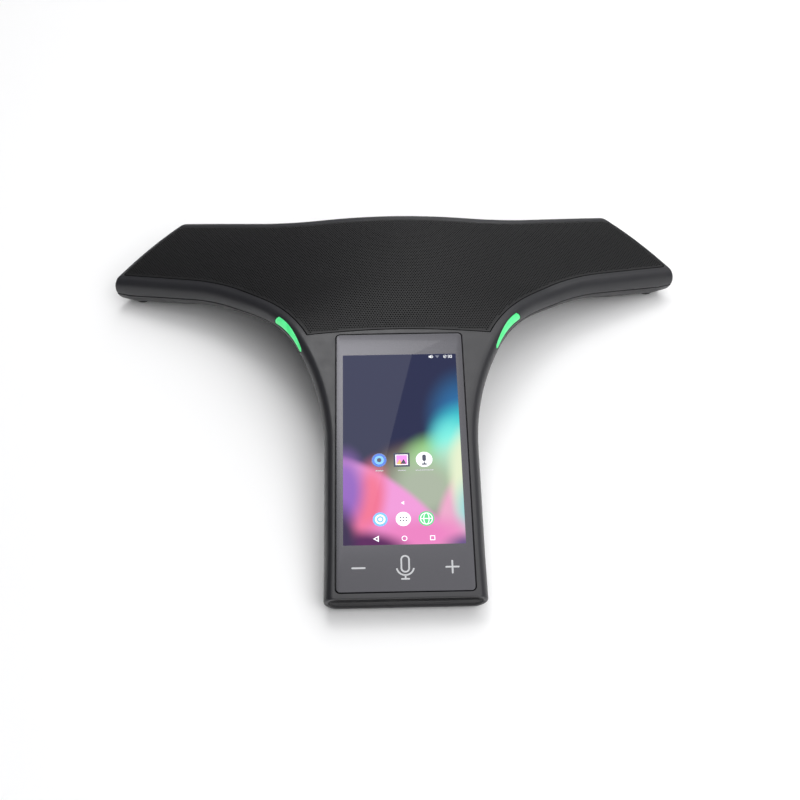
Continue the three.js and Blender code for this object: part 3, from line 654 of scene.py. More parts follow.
# The display's colours: soft tilted ovals over a night-blue ground. Each is its middle across and up
# and its two radii, in widths of the lit area, then its turn in degrees, the softness of its edge
# and its colour.
GROUND = (0.018, 0.023, 0.078)
SPOTS = [
    # Blue and teal glow at the right edge.
    ((1.03, 1.12), (0.24, 0.36), 0, 0.60, (0.02, 0.17, 0.42)),
    ((1.06, 0.98), (0.27, 0.26), -10, 0.45, (0.05, 0.66, 0.72)),
    # Olive and green arch.
    ((0.55, 0.64), (0.25, 0.24), 0, 0.45, (0.13, 0.07, 0.06)),
    ((0.77, 0.69), (0.25, 0.25), -24, 0.45, (0.38, 0.84, 0.28)),
    ((0.93, 0.88), (0.16, 0.20), 0, 0.70, (0.24, 1.00, 0.88)),
    ((0.97, 0.74), (0.15, 0.15), 0, 0.80, (0.64, 1.00, 0.72)),
    # Grey-olive wedge.
    ((0.68, 0.48), (0.34, 0.30), 0, 0.65, (0.47, 0.54, 0.42)),
    # Pink, with a nearly straight upper right edge, then coral and purple over its left end.
    ((0.36, 0.26), (0.72, 0.27), -41, 0.13, (1.00, 0.38, 0.80)),
    ((0.18, 0.34), (0.15, 0.36), -13, 0.45, (1.00, 0.20, 0.34)),
    ((-0.03, 0.46), (0.19, 0.34), -6, 0.45, (0.34, 0.15, 0.60)),
    # Pink and a pale strip down the right edge.
    ((0.98, 0.24), (0.19, 0.42), -17, 0.24, (0.96, 0.46, 0.68)),
    ((1.15, 0.50), (0.24, 0.54), 6, 0.24, (0.90, 0.99, 0.70)),
    ((1.07, 0.30), (0.12, 0.22), 0, 0.70, (0.35, 0.75, 0.80)),
    # Magenta foot and dark bottom corners.
    ((0.60, 0.08), (0.42, 0.14), 0, 0.70, (0.96, 0.26, 0.62)),
    ((0.24, -0.03), (0.30, 0.13), -12, 0.50, (0.12, 0.02, 0.12)),
    ((-0.04, 0.04), (0.14, 0.28), 0, 0.50, (0.05, 0.03, 0.09)),
    ((1.02, -0.02), (0.16, 0.09), 0, 0.70, (0.16, 0.10, 0.28)),
]
GLASS_COAT = {"Coat_Weight": 0.2, "Coat_Roughness": 0.015, "Coat_IOR": 1.5}


def display(name):
    """The lit panel under the glass: soft coloured spots and the glass's gloss."""
    look = Look(name, 0.35, Specular_IOR_Level=0.0, **GLASS_COAT)
    look.set("Base Color", (0.004, 0.004, 0.005, 1.0))
    up_scale = 1 / PANEL["width"] / math.cos(TILT)
    foot = (PANEL["middle"] - PANEL["height"] / 2) * math.cos(TILT) - PLAN_MIDDLE
    # Widths of the lit area across from its left edge and up the slope from its foot.
    flat = look.mapped((1 / PANEL["width"], up_scale, 0), (0.5, -foot * up_scale, 0))
    colour = GROUND
    for middle, radii, turn, soft, tint in SPOTS:
        turned = (0, 0, math.radians(turn))
        reach = look.length(look.mapped((*radii, 1), (*middle, 0), turned, flat, "TEXTURE"))
        colour = look.mix(look.span(reach, 1.0, 0.0, 1 - soft, 1 + soft, "SMOOTHSTEP"), colour, tint)
    look.feed("Emission Color", colour)
    look.set("Emission Strength", 0.9)
    return look.material


def lit(name, colour, strength):
    """A lit or printed mark under the glass's gloss, barely uneven."""
    look = Look(name, 0.4, Emission_Strength=strength, **GLASS_COAT)
    look.paint(look.noise(300), shade(colour, 0.5), shade(colour, 0.55))
    look.feed("Emission Color", look.mix(look.noise(500), shade(colour, 0.94), colour))
    return look.material


def light_lens(name):
    """A diffusing green lens, softly clouded."""
    look = Look(name, 0.3, Coat_Weight=0.4, Coat_Roughness=0.15, Emission_Strength=0.85)
    cloud = look.span(look.noise(180), 0, 1)
    look.paint(cloud, (0.02, 0.30, 0.09), (0.04, 0.36, 0.13))
    look.feed("Emission Color", look.mix(cloud, (0.05, 0.66, 0.18), (0.12, 0.80, 0.30)))
    look.bump((look.noise(2500), 0.1, 0.00002))
    return look.material


def glass_border(name, colour):
    """The printed frame behind the cover glass: a fine metallic grey under a polished surface."""
    look = Look(name, 0.27, 1.0, **GLASS_COAT)
    look.paint(look.span(look.noise(9000, 1), 0, 1, 0.4), shade(colour, 0.9), shade(colour, 1.12))
    return look.material


LOOKS = {
    "shell": moulded("shell_plastic", (0.016, 0.016, 0.019), 0.36),
    "base": moulded("base_plastic", (0.018, 0.018, 0.020), 0.42, grain=4200, depth=0.00004, strength=0.3),
    "grille": coated_metal("grille_coating", (0.007, 0.007, 0.0077), 0.5, Specular_IOR_Level=0.32),
    "grille_rim": coated_metal("grille_rim_coating", (0.011, 0.011, 0.012), 0.45, metallic=0.3),
    "cloth": woven("acoustic_cloth", (0.006, 0.006, 0.007)),
    "insert": coated_metal("insert_coating", (0.013, 0.013, 0.0145), 0.5),
    "cover_glass": glass_border("glass_border", (0.066, 0.065, 0.072)),
    "display": display("display"),
    "light_lens": light_lens("light_lens"),
    "board": circuit("solder_mask"),
    "ribbon": moulded("polyimide", (0.32, 0.13, 0.02), 0.35, grain=900),
    "steel": brushed("bright_steel", (0.55, 0.56, 0.58), 0.28),
    "zinc": brushed("zinc_plate", (0.40, 0.41, 0.43), 0.36, along=(900, 900, 900)),
    "ferrite": moulded("ferrite", (0.03, 0.03, 0.032), 0.7, grain=1200, strength=0.6),
    "paper": paper("cone_paper", (0.015, 0.015, 0.016)),
    "copper": brushed("copper_wire", (0.62, 0.28, 0.12), 0.3, along=(30, 30, 6000)),
    "lead": rubber("lead_jacket", (0.012, 0.012, 0.013)),
    "rubber": rubber("foot_rubber", (0.016, 0.016, 0.017)),
    "label": moulded("label_film", (0.52, 0.53, 0.55), 0.42, grain=700, strength=0.05),
    "gold": brushed("contact_gold", (0.80, 0.55, 0.18), 0.22, along=(3000, 60, 3000)),
    "black": moulded("black_nylon", (0.008, 0.008, 0.009), 0.45),
    "screw": brushed("blackened_steel", (0.05, 0.05, 0.055), 0.35, along=(1500, 1500, 1500)),
    "white": lit("lit_white", (0.90, 0.92, 0.95), 0.85),
    "key": lit("key_white", (0.62, 0.63, 0.65), 0.35),
}
ICON_COLOURS = {
    "icon_blue": (0.03, 0.13, 0.55),
    "icon_sky": (0.14, 0.42, 0.85),
    "icon_navy": (0.012, 0.018, 0.05),
    "icon_slate": (0.10, 0.11, 0.16),
    "icon_pink": (0.85, 0.20, 0.62),
    "icon_amber": (0.95, 0.42, 0.12),
    "icon_green": (0.05, 0.50, 0.16),
}
LOOKS.update({name: lit(name, colour, 0.9) for name, colour in ICON_COLOURS.items()})

# Every CAD node starts with its slot's material; the ones that show are then replaced by finer pieces.
for entry in frame["record"]["subparts"]:
    look = "steel" if entry["material_slot"] == "screen" else entry["material_slot"]
    materials = frame["nodes"][entry["node"]].data.materials
    materials.clear()
    materials.append(LOOKS[look])

# ---- cutters shared by the shells ----

CHAMFER = 0.00025


def flared(ring_at, depth, chamfer=CHAMFER, above=0.003):
    """A cutter that breaks the edge of the opening it makes. ring_at(inset, depth) gives its rings."""
    return loose(stack([ring_at(-above - chamfer, -above), ring_at(0, chamfer), ring_at(0, depth)]))


def grille_rim(inset):
    """The rim of the grille: the outline behind the glass, closed by a shallow arch."""
    ring = outline(GRILLE["rim"] + inset, GRILLE["end_rim"] + inset)
    front = GRILLE["front"] + inset
    across, away = waist_centre()
    reach = WAIST["radius"] + GRILLE["rim"] + inset
    side = across - math.sqrt(reach**2 - (front - away) ** 2)
    behind = ring[KEPT_BY_RIM]
    share = np.linspace(-1, 1, 61)
    arch = np.column_stack([share * side, front + GRILLE["arch"] * (1 - share**2)])
    return np.vstack([arch, behind])


def waist_centre():
    slope = math.atan2(WING_FRONT["y"] - WAIST["y"], WING_FRONT["x"] - WAIST["x"])
    back = WAIST["radius"] * math.tan((math.pi / 2 - slope) / 2)
    return WAIST["x"] + WAIST["radius"], WAIST["y"] - back


KEPT_BY_RIM = outline(GRILLE["rim"], GRILLE["end_rim"])[:, 1] > GRILLE["front"] + 0.003


def crowned_sheet(rim_at, upper, lower, chamfer=0.0):
    """A solid that follows the top surface between two drops, flared at its upper edge."""
    shares = list(np.linspace(0.06, 0.94, 15))
    middle = HUB_Y + 0.010
    wide, plain = rim_at(-chamfer + min(upper, 0)), rim_at(0)
    rings = crown_rings(wide, upper, middle, shares) + [on_top(wide, upper)]
    if chamfer:
        rings.append(on_top(plain, chamfer))
    rings += [on_top(plain, lower)] + crown_rings(plain, lower, middle, shares[::-1])
    return loft(crown_point(middle, upper), rings, crown_point(middle, lower))


def glass_ring(inset, depth):
    width, height = GLASS["width"] - 2 * inset, GLASS["end"] - GLASS["start"] - 2 * inset
    xy = rounded_rect(width, height, max(GLASS["corner"] - inset, 0.0004))
    return on_deck(xy + [0, (GLASS["start"] + GLASS["end"]) / 2], -depth)


LIGHT_HEIGHT = 0.0028  # a light bar is this high on average, and slightly tapered


def light_ring(side, inset, depth):
    """A ring round a light bar, wrapped on the waist of the flank."""
    across, away = waist_centre()
    length = math.radians(LIGHT["stop"] - LIGHT["start"]) * WAIST["radius"]
    middle = math.radians((LIGHT["start"] + LIGHT["stop"]) / 2)
    height = LIGHT_HEIGHT - 2 * inset
    uv = with_long_sides_cut(rounded_rect(length - 2 * inset, height, height / 2 - FLAT, 10), 16)
    angle = middle + uv[:, 0] / WAIST["radius"]
    edge = WAIST["radius"] + SHOULDER
    top = top_height(across - edge * np.cos(angle), away + edge * np.sin(angle))
    flank = flank_height(top)
    along = uv[:, 0] / length + 0.5
    bow = 4 * LIGHT["bow"] * along * (1 - along)
    low, high = (start + (stop - start) * along - bow for start, stop in (LIGHT["low"], LIGHT["high"]))
    share = (low + high) / 2 - uv[:, 1] / LIGHT_HEIGHT * (low - high)
    radius = WAIST["radius"] + np.array([flank_inset(s) for s in share]) + depth
    return np.column_stack([
        side * (across - radius * np.cos(angle)), away + radius * np.sin(angle), top - share * flank,
    ])


END_CUT = {"flare": 0.0012, "depth": 0.006, "chamfer": 0.0005, "above": 0.0007}


def end_cutter(end):
    def slot_ring(inset, depth):
        return end_ring(end, max(inset, -END_CUT["flare"]), depth)

    return flared(slot_ring, END_CUT["depth"], END_CUT["chamfer"], END_CUT["above"])


# ---- shells ----

EASE = 0.0003  # how far a small edge is broken
GROOVE = 0.0003  # how far the two shells' edges are broken along their parting line
CLEAR = 0.02  # share of the flank height left free of rings beside the parting line
LIP = {"above": 0.1, "below": 0.06}  # how far each shell's lip runs past the parting line, as shares
ROOF = {"side": 0.001, "end": 0.0015, "lean": 0.2}  # how far the ceiling's rim stands in from the wall
THROUGH_ROOF = (0.040, 0.060)
LIGHT_CUT = {"flare": 0.0006, "depth": 0.006, "above": 0.0012}
BEYOND = (0.27, 0.29)  # Y behind the body, for the ends of the bay's walls and of what hollows it


def top_cover():
    shares = SHOULDER_SHARES + [share for share in LOWER_SHARES if share < PARTING - CLEAR]
    outside = [flank_ring(share) for share in shares]
    outside += [flank_ring(PARTING - CLEAR), flank_ring(PARTING, GROOVE)]
    lip = [flank_ring(share, WALL / 2) for share in (PARTING, PARTING - LIP["above"])]
    inside = [flank_ring(share, WALL) for share in (PARTING - LIP["above"], 0.3)]
    roof = outline(SHOULDER + WALL + ROOF["side"], WALL + ROOF["end"], ROOF["lean"])
    rings = crown_rings(EDGE, 0, HUB_Y, RING_SHARES) + outside + lip + inside
    rings += crown_rings(roof, CEILING, HUB_Y, [1.0] + RING_SHARES[::-1])
    cover = loose(loft(crown_point(HUB_Y, 0), rings, crown_point(HUB_Y, CEILING)))
    combine(cover, loose(crowned_sheet(grille_rim, -0.003, GRILLE["recess"], CHAMFER)))
    opening = circle_points(0, SPEAKER["y"], SPEAKER["flange"] - SPEAKER["ledge"], 72)
    combine(cover, loose(stack([level_ring(opening, z) for z in THROUGH_ROOF])))
    combine(cover, flared(lambda inset, depth: glass_ring(inset - GAP, depth), GLASS["thickness"] + GAP))
    for side in (1, -1):
        def bar_ring(inset, depth):
            return light_ring(side, max(inset, -LIGHT_CUT["flare"]) - GAP, depth)

        combine(cover, flared(bar_ring, LIGHT_CUT["depth"], above=LIGHT_CUT["above"]))
    for end in ENDS:
        combine(cover, end_cutter(end))
    return cover


def bottom_cover():
    below = [share for share in LOWER_SHARES if share > PARTING + CLEAR]
    outside = [flank_ring(PARTING, GROOVE, -GAP), flank_ring(PARTING + CLEAR, 0, -GAP)]
    outside += [flank_ring(share) for share in below]
    hull = outside + [hull_ring(way) for way in (0.08, 0.5, 0.94, 1.0)]
    lip = WALL / 2 + GAP
    sill = flank_ring(1, WALL)
    sill[:, 2] = np.maximum(sill[:, 2] + WALL, BASE + FLOOR + GAP)
    floor = hull_ring(1, WALL)
    floor[:, 2] = BASE + FLOOR
    lip_top = PARTING - LIP["below"]
    inner = [floor, sill, flank_ring(0.8, WALL), flank_ring(lip_top, WALL)]
    inner += [flank_ring(lip_top, lip), flank_ring(PARTING, lip, -GAP)]
    cover = loose(stack(inner + hull))
    apex = [0, HUB_Y, 0.034]  # high enough for the bay's walls
    block = loose(loft(apex, hull, None))
    wide, near, low, high = (BAY[key] for key in ("half_width", "y", "low", "high"))
    walls = box_shape((-wide - WALL, wide + WALL), (near - WALL, BEYOND[0]), (BASE + 0.001, high + WALL))
    combine(block, loose(walls), "INTERSECT")
    combine(cover, block, "UNION")
    combine(cover, loose(box_shape((-wide, wide), (near, BEYOND[1]), (low, high))))
    frame_x, frame_low, frame_high = BAY["frame"]
    window_x = (-wide + frame_x, wide - frame_x)
    window = box_shape(window_x, (near - 0.005, near + 0.005), (low + frame_low, high - frame_high))
    combine(cover, loose(window))
    for end in ENDS:
        combine(cover, end_cutter(end))
    for k in range(6):
        screw_boss(cover, *screw_place(f"cover_screw_{k + 1}"))
    return cover


def screw_place(node):
    low, high = node_plan_box(node)
    return (low.x + high.x) / 2, (low.y + high.y) / 2


def screw_boss(cover, x, y):
    """A post inside the base, with a counterbored hole from below."""
    top = BOSS["top"]
    post = [(BOSS["radius"], BASE + 0.0004), (BOSS["radius"], top)]
    combine(cover, loose(stack(disc_rings(x, y, post))), "UNION")
    room, hole = BOSS["head_room"], BOSS["hole"]
    seat = BASE + FLOOR + 0.0001
    bore = [(room + 0.001 + EASE, BASE - 0.001), (room, BASE + EASE), (room, seat)]
    bore += [(hole, seat), (hole, top + 0.001)]
    combine(cover, loose(stack(disc_rings(x, y, bore))))


finish_piece(top_cover(), "top_cover", LOOKS["shell"], slot="shell", replaces=["top_shell"])
finish_piece(bottom_cover(), "bottom_cover", LOOKS["base"], slot="base", replaces=["bottom_shell"])

# ---- grille ----

HOLES = {"pitch": 0.001443, "radius": 0.00041, "border": 0.00095, "tuck": 0.0004, "sheet": 0.0005}
WING_FROM = 0.055  # the sheet is kept as three pieces, parted across the wings


def grille_pieces():
    rim = grille_rim(GAP)
    parts = {
        "grille_left": lambda p: p[:, 0] < -WING_FROM,
        "grille_middle": lambda p: np.abs(p[:, 0]) <= WING_FROM,
        "grille_right": lambda p: p[:, 0] > WING_FROM,
    }
    for name, keep in parts.items():
        shape = perforated(
            rim, HOLES["pitch"], HOLES["radius"], HOLES["border"], HOLES["tuck"],
            lambda xy, drop: on_top(xy, drop + 0.00004), HOLES["sheet"], keep,
        )
        obj = loose(shape, turned_out=False)
        finish_piece(obj, name, LOOKS["grille"], slot="grille", replaces=["speaker_grille"], smooth=0)


def grille_edge():
    """The folded edge of the sheet: a plain rounded strip with a short skirt."""
    section = [(0, 0.001), (0, 0.0003), (0.0001, 0.00008), (0.0003, 0)]
    section += [(0.0009, 0), (0.00095, 0.0003), (0.0005, 0.001)]
    return hoop([on_top(grille_rim(GAP + inset), drop) for inset, drop in section])


grille_pieces()
add_piece("grille_edge", grille_edge(), LOOKS["grille_rim"], slot="grille")
cloth = crowned_sheet(lambda inset: grille_rim(GAP + 0.0003 + inset), 0.0007, 0.001)
cloth = add_piece("acoustic_cloth", cloth, LOOKS["cloth"], slot="grille")

# ---- glass and display ----


def glass_plate():
    """The cover glass with a softened edge. Its last face is the window over the lit panel."""
    edge = [(0.0, GLASS["thickness"]), (0.0, 0.0004), (0.00005, 0.00018), (0.00018, 0.00005), (0.0004, 0.0)]
    rings = [glass_ring(inset, depth) for inset, depth in edge]
    window = rounded_rect(PANEL["width"], PANEL["height"], 0.0003)
    rings.append(on_deck(window + [0, PANEL["middle"]]))
    return stack(rings)


glass = loose(glass_plate())
glass_looks = [LOOKS["cover_glass"], LOOKS["display"]]
finish_piece(glass, "glass_plate", glass_looks, slot="cover_glass", replaces=["touch_glass"])
upward = [face for face in glass.data.polygons if face.normal.z > 0.9]
max(upward, key=lambda face: face.area).material_index = 1

INK = 0.00003  # how far a printed or lit mark stands on the glass


class Marks:
    """Flat marks on the deck, gathered into one piece. Places are across and up from a pen."""

    def __init__(self):
        self.points, self.faces, self.looks, self.slots = [], [], [], []
        self.pen((0, 0), 1)

    def pen(self, place, unit):
        """Sets where the next marks are measured from, and their unit of length."""
        self.place = place
        self.unit = unit

    def prism(self, rings, faces, look, level):
        """Rings are the flat outlines, faces the flat faces between them, closed round the edges."""
        if look not in self.slots:
            self.slots.append(look)
        start = len(self.points)
        flat = np.vstack(rings) * self.unit + self.place
        self.points += [*on_deck(flat, INK * (1 + level)), *on_deck(flat)]
        made = [[start + i for i in face] for face in faces]
        for k, ring in enumerate(rings):
            for i in range(len(ring)):
                a, b = start + i, start + (i + 1) % len(ring)
                wall = [a, a + len(flat), b + len(flat), b]
                made.append(wall[::-1] if k else wall)
            start += len(ring)
        self.faces += made
        self.looks += [self.slots.index(look)] * len(made)

    def patch(self, ring, look, level=0):
        self.prism([ring], [range(len(ring))], look, level)

    def disc(self, x, y, radius, look, level=0, steps=32):
        self.patch(circle_points(x, y, radius, steps), look, level)

    def band(self, outer, inner, look, level=0):
        n = len(outer)
        faces = [[i, (i + 1) % n, n + (i + 1) % n, n + i] for i in range(n)]
        self.prism([outer, inner], faces, look, level)

    def ring(self, outer, inner, look, level=0):
        self.band(circle_points(0, 0, outer), circle_points(0, 0, inner), look, level)

    def bar(self, x, y, width, height, look, level=0, radius=None):
        radius = min(width, height) * 0.49 if radius is None else radius
        self.patch(rounded_rect(width, height, radius, 4) + [x, y], look, level)

    def frame(self, y, width, height, line, radius, look):
        outer = rounded_rect(width, height, radius, 6) + [0, y]
        inner = rounded_rect(width - 2 * line, height - 2 * line, max(radius - line, 0.0077), 6) + [0, y]
        self.band(outer, inner, look)

    def stroke(self, path, line, look):
        """A line of even width along an open path."""
        ahead = np.gradient(path, axis=0)
        ahead /= np.linalg.norm(ahead, axis=1)[:, None]
        across = np.column_stack([-ahead[:, 1], ahead[:, 0]]) * line / 2
        self.patch(np.vstack([path - across, (path + across)[::-1]]), look)

    def piece(self, name):
        looks = [LOOKS[look] for look in self.slots]
        obj = loose((self.points, self.faces), turned_out=False)
        finish_piece(obj, name, looks, slot="cover_glass", smooth=0)
        obj.data.polygons.foreach_set("material_index", self.looks)


SCREEN_FOOT = PANEL["middle"] - PANEL["height"] / 2


def at(across, up):
    """A place on the screen from shares of its width and height."""
    return (across - 0.5) * PANEL["width"], SCREEN_FOOT + up * PANEL["height"]


def arc(start, stop, radius, y=0.0, steps=20):
    turn = np.radians(np.linspace(start, stop, steps))
    return np.column_stack([radius * np.cos(turn), y + radius * np.sin(turn)])


KEY = {
    "minus": -0.0234, "plus": 0.0236, "drop": 0.0002, "length": 0.0071, "line": 0.0009, "microphone": 0.0131,
}


def touch_keys():
    """Minus, plus, and a generic microphone: a capsule in a cradle on a stand."""
    marks = Marks()
    middle = (GLASS["start"] + SCREEN_FOOT) / 2 + 0.0003
    marks.bar(KEY["minus"], middle, KEY["length"], KEY["line"], "key")
    marks.pen((0, middle), KEY["microphone"])
    line = 0.064
    marks.frame(0.14, 0.36, 0.70, line, 0.175, "key")
    marks.stroke(arc(190, 350, 0.33, 0.02), line, "key")
    marks.bar(0, -0.37, line, 0.14, "key", radius=line * 0.1)
    marks.bar(0, -0.46, 0.34, line, "key")
    marks.pen((KEY["plus"], middle - KEY["drop"]), 1)
    marks.bar(0, 0, KEY["length"], KEY["line"], "key")
    marks.bar(0, 0, KEY["line"], KEY["length"], "key", 0.2)
    marks.piece("touch_keys")


APP = 0.0040  # radius of an app's icon
ROWS = {"labels": 0.370, "upper": 0.425, "pages": 0.205, "lower": 0.125, "keys": 0.030, "status": 0.985}
COLUMNS = (0.305, 0.495, 0.685)
LABELS = {"widths": (0.0042, 0.0042, 0.0095), "height": 0.0005}


def camera_icon(marks):
    for level, (radius, look) in enumerate([(1, "slate"), (0.94, "blue"), (0.62, "sky"), (0.30, "navy")]):
        marks.disc(0, 0, radius, f"icon_{look}", level)


def picture_icon(marks):
    marks.bar(0, 0, 2.1, 2.0, "icon_navy", 0, 0.08)
    marks.bar(0, 0, 1.62, 1.5, "white", 1, 0.05)
    marks.bar(0, 0, 1.42, 1.3, "icon_pink", 2, 0.05)
    hill = np.array([(-0.71, -0.65), (0.1, -0.65), (-0.25, 0.1)])
    marks.patch(hill, "icon_amber", 3)
    marks.patch(hill * [1, 0.9] + [0.5, 0], "icon_navy", 4)


def recorder_icon(marks):
    marks.disc(0, 0, 1.08, "white")
    marks.bar(0, 0.22, 0.5, 0.95, "icon_navy", 1)
    marks.bar(0, -0.52, 0.16, 0.4, "icon_navy", 1, 0.02)
    marks.bar(0, -0.68, 0.7, 0.2, "icon_navy", 2)


def settings_icon(marks):
    marks.disc(0, 0, 0.95, "icon_sky")
    marks.ring(0.66, 0.44, "white", 1)
    marks.disc(0, 0, 0.24, "white", 1)


def grid_icon(marks):
    marks.disc(0, 0, 0.97, "white")
    for i in (-1, 0, 1):
        for j in (-0.5, 0.5):
            marks.disc(i * 0.38, j * 0.42, 0.10, "icon_navy", 1, 10)


def globe_icon(marks):
    marks.disc(0, 0, 1, "icon_green")
    marks.ring(0.82, 0.70, "white", 1)
    marks.bar(0, 0, 1.5, 0.12, "white", 2, 0.02)
    circle = circle_points(0, 0, 1)
    marks.band(circle * [0.40, 0.76], circle * [0.28, 0.70], "white", 3)


ICONS = {
    "upper": (camera_icon, picture_icon, recorder_icon),
    "lower": (settings_icon, grid_icon, globe_icon),
}


def app_icons():
    """Two rows of app icons, with a plain bar in place of each upper one's name."""
    marks = Marks()
    for row, drawings in ICONS.items():
        for column, draw in zip(COLUMNS, drawings):
            marks.pen(at(column, ROWS[row]), APP)
            draw(marks)
    for column, width in zip(COLUMNS, LABELS["widths"]):
        marks.pen(at(column, ROWS["labels"]), 1)
        marks.bar(0, 0, width, LABELS["height"], "key")
    marks.piece("app_icons")


# Which of a digit's bars are lit: top, upper right, lower right, foot, lower left, upper left, middle.
DIGITS = {"0": "1111110", "1": "0110000", "2": "1101101", "3": "1111001"}


def digit(marks, character, x):
    half, line = 0.28, 0.14
    bars = [
        (0, 0.5, True), (half, 0.25, False), (half, -0.25, False), (0, -0.5, True),
        (-half, -0.25, False), (-half, 0.25, False), (0, 0, True),
    ]
    for lit_bar, (dx, y, flat) in zip(DIGITS[character], bars):
        if lit_bar == "1":
            width, height = (2 * half, line) if flat else (line, 0.5)
            marks.bar(x + dx, y, width, height, "white", radius=line * 0.1)


STATUS = {"size": 0.0012, "speaker": 0.780, "signal": 0.835, "clock": 0.925}
CLOCK = {"digit": 0.0015, "pitch": 0.0013, "dot": 0.00013}


def status_icons():
    """A loudspeaker, a signal wedge and a clock."""
    marks = Marks()
    marks.pen(at(STATUS["speaker"], ROWS["status"]), STATUS["size"])
    speaker = [(-1, -0.4), (-0.4, -0.4), (0.2, -0.9), (0.2, 0.9), (-0.4, 0.4), (-1, 0.4)]
    marks.patch(speaker, "white")
    marks.stroke(arc(-50, 50, 0.8, steps=9), 0.2, "white")
    marks.pen(at(STATUS["signal"], ROWS["status"]), STATUS["size"])
    marks.patch([(0, -0.8), (1, 0.6), (-1, 0.6)], "icon_slate")
    marks.pen(at(STATUS["clock"], ROWS["status"]), CLOCK["digit"])
    for character, x in zip("1230", (-1.9, -0.9, 0.5, 1.5)):
        digit(marks, character, x * CLOCK["pitch"] / CLOCK["digit"])
    for y in (-0.2, 0.2):
        marks.disc(-0.2, y, CLOCK["dot"] / CLOCK["digit"], "white", 0, 8)
    marks.piece("status_icons")


NAVIGATION = {"reach": 0.0013, "line": 0.0004, "corner": 0.0002}


def navigation_keys():
    """Back, home and overview, and the arrow head that marks the page."""
    marks = Marks()
    reach = NAVIGATION["reach"]
    line = NAVIGATION["line"] / reach
    marks.pen(at(0.27, ROWS["keys"]), reach)
    triangle = np.array([(-1.0, 0.0), (0.8, -1.05), (0.8, 1.05)])
    marks.band(triangle * 1.25, triangle * 0.62 + [0.05, 0], "white")
    marks.pen(at(0.50, ROWS["keys"]), reach)
    marks.ring(1.1, 1.1 - line, "white")
    marks.pen(at(0.73, ROWS["keys"]), reach)
    marks.frame(0, 2, 2, line, NAVIGATION["corner"] / reach, "white")
    marks.pen(at(0.495, ROWS["pages"]), reach)
    marks.patch([(-0.8, 0), (0.5, -0.8), (0.5, 0.8)], "white")
    marks.piece("navigation_keys")


touch_keys()
app_icons()
status_icons()
navigation_keys()

# ---- light bars ----

LENS_EDGE = [(0.0006, -0.00005), (0.0003, 0.0), (0.0001, 0.00012), (0.0, 0.0004), (0.0, 0.003)]

for name, side in (("right", 1), ("left", -1)):
    lens = stack([light_ring(side, inset, depth) for inset, depth in LENS_EDGE])
    node = f"light_bar_{name}"
    add_piece(f"light_lens_{name}", lens, LOOKS["light_lens"], slot="light_lens", replaces=[node])

# ---- perforated ends ----

END_HOLES = {
    "pitch": 0.0013, "wide": 0.0006, "band": 0.0042, "small": 0.0003, "border": 0.0001, "tuck": 0.00005,
    "sheet": 0.00025,
}
END_FRAME = [(0.0003, 0.0018), (0.0003, 0.0006), (0.0004, 0.0004), (0.0008, 0.0004), (0.0009, 0.0018)]
END_BACKING = (0.0014, 0.0017)


def end_mesh(end):
    """A perforated sheet: wide holes in the rows of the top band, through which the black backing shows as a
    painted shadow under the rim, small ones below.
    """
    matrix, size = ENDS[end]
    holes = END_HOLES
    height = size["height"] - 2 * GAP
    rim = rounded_rect(size["width"] - 2 * GAP, height, height / 2 - FLAT, 16)

    def surface(xz, drop):
        return placed(matrix, facing_back(xz, -SLOT["depth"] - drop))

    # The top band's wide holes are a painted shadow: they let the black backing show as the dark line under
    # the rim.
    def shadow_band_sizes(centres):
        return np.where(centres[:, 1] > height / 2 - holes["band"], holes["wide"], holes["small"])

    sheet = perforated(rim, holes["pitch"], shadow_band_sizes, holes["border"], holes["tuck"], surface, holes["sheet"])
    obj = loose(sheet, turned_out=False)
    obj.data.flip_normals()
    return obj


for end in ENDS:
    node = f"end_insert_{end}"
    finish_piece(end_mesh(end), f"end_mesh_{end}", LOOKS["insert"], slot="insert", replaces=[node], smooth=0)
    rim = hoop([end_ring(end, inset, depth) for inset, depth in END_FRAME])
    add_piece(f"end_frame_{end}", rim, LOOKS["insert"], slot="insert")
    backing = stack([end_ring(end, END_FRAME[-1][0], depth) for depth in END_BACKING])
    add_piece(f"end_backing_{end}", backing, LOOKS["black"], slot="insert")

# ---- feet, screws and rating plate ----

FOOT_WIDTH = 0.011
FOOT_EDGE = [(0, 0.0007), (0.0002, 0.0003), (0.0006, 0.0), (0.0016, 0.0), (0.0019, 0.0004)]
FEET = {"front": (0.030, 0.0), "right": (0.034, 1.0), "left": (0.034, -1.0)}  # length, sense of turn
WING_TURN = math.atan2(WING_BACK["y"] - WING_FRONT["y"], WING_BACK["x"] - WING_FRONT["x"])
SCREW = {"head": 0.003, "head_top": 0.0019, "shank": 0.00135, "tip": 0.0007, "taper": 0.0008}
RECESS = {"radius": 0.0012, "lobe": 0.00025, "depth": 0.0012}
PLATE_CORNER = 0.002


def foot(name, length, turned):
    low, high = node_plan_box(f"foot_{name}")
    turn = np.array(Matrix.Rotation(turned * WING_TURN, 2))
    middle = np.array([(low.x + high.x) / 2, (low.y + high.y) / 2])
    rings = []
    for inset, z in [(0, high.z)] + FOOT_EDGE:
        width = FOOT_WIDTH - 2 * inset
        xy = rounded_rect(length - 2 * inset, width, width / 2 - FLAT, 12) @ turn.T + middle
        rings.append(level_ring(xy, z))
    return stack(rings)


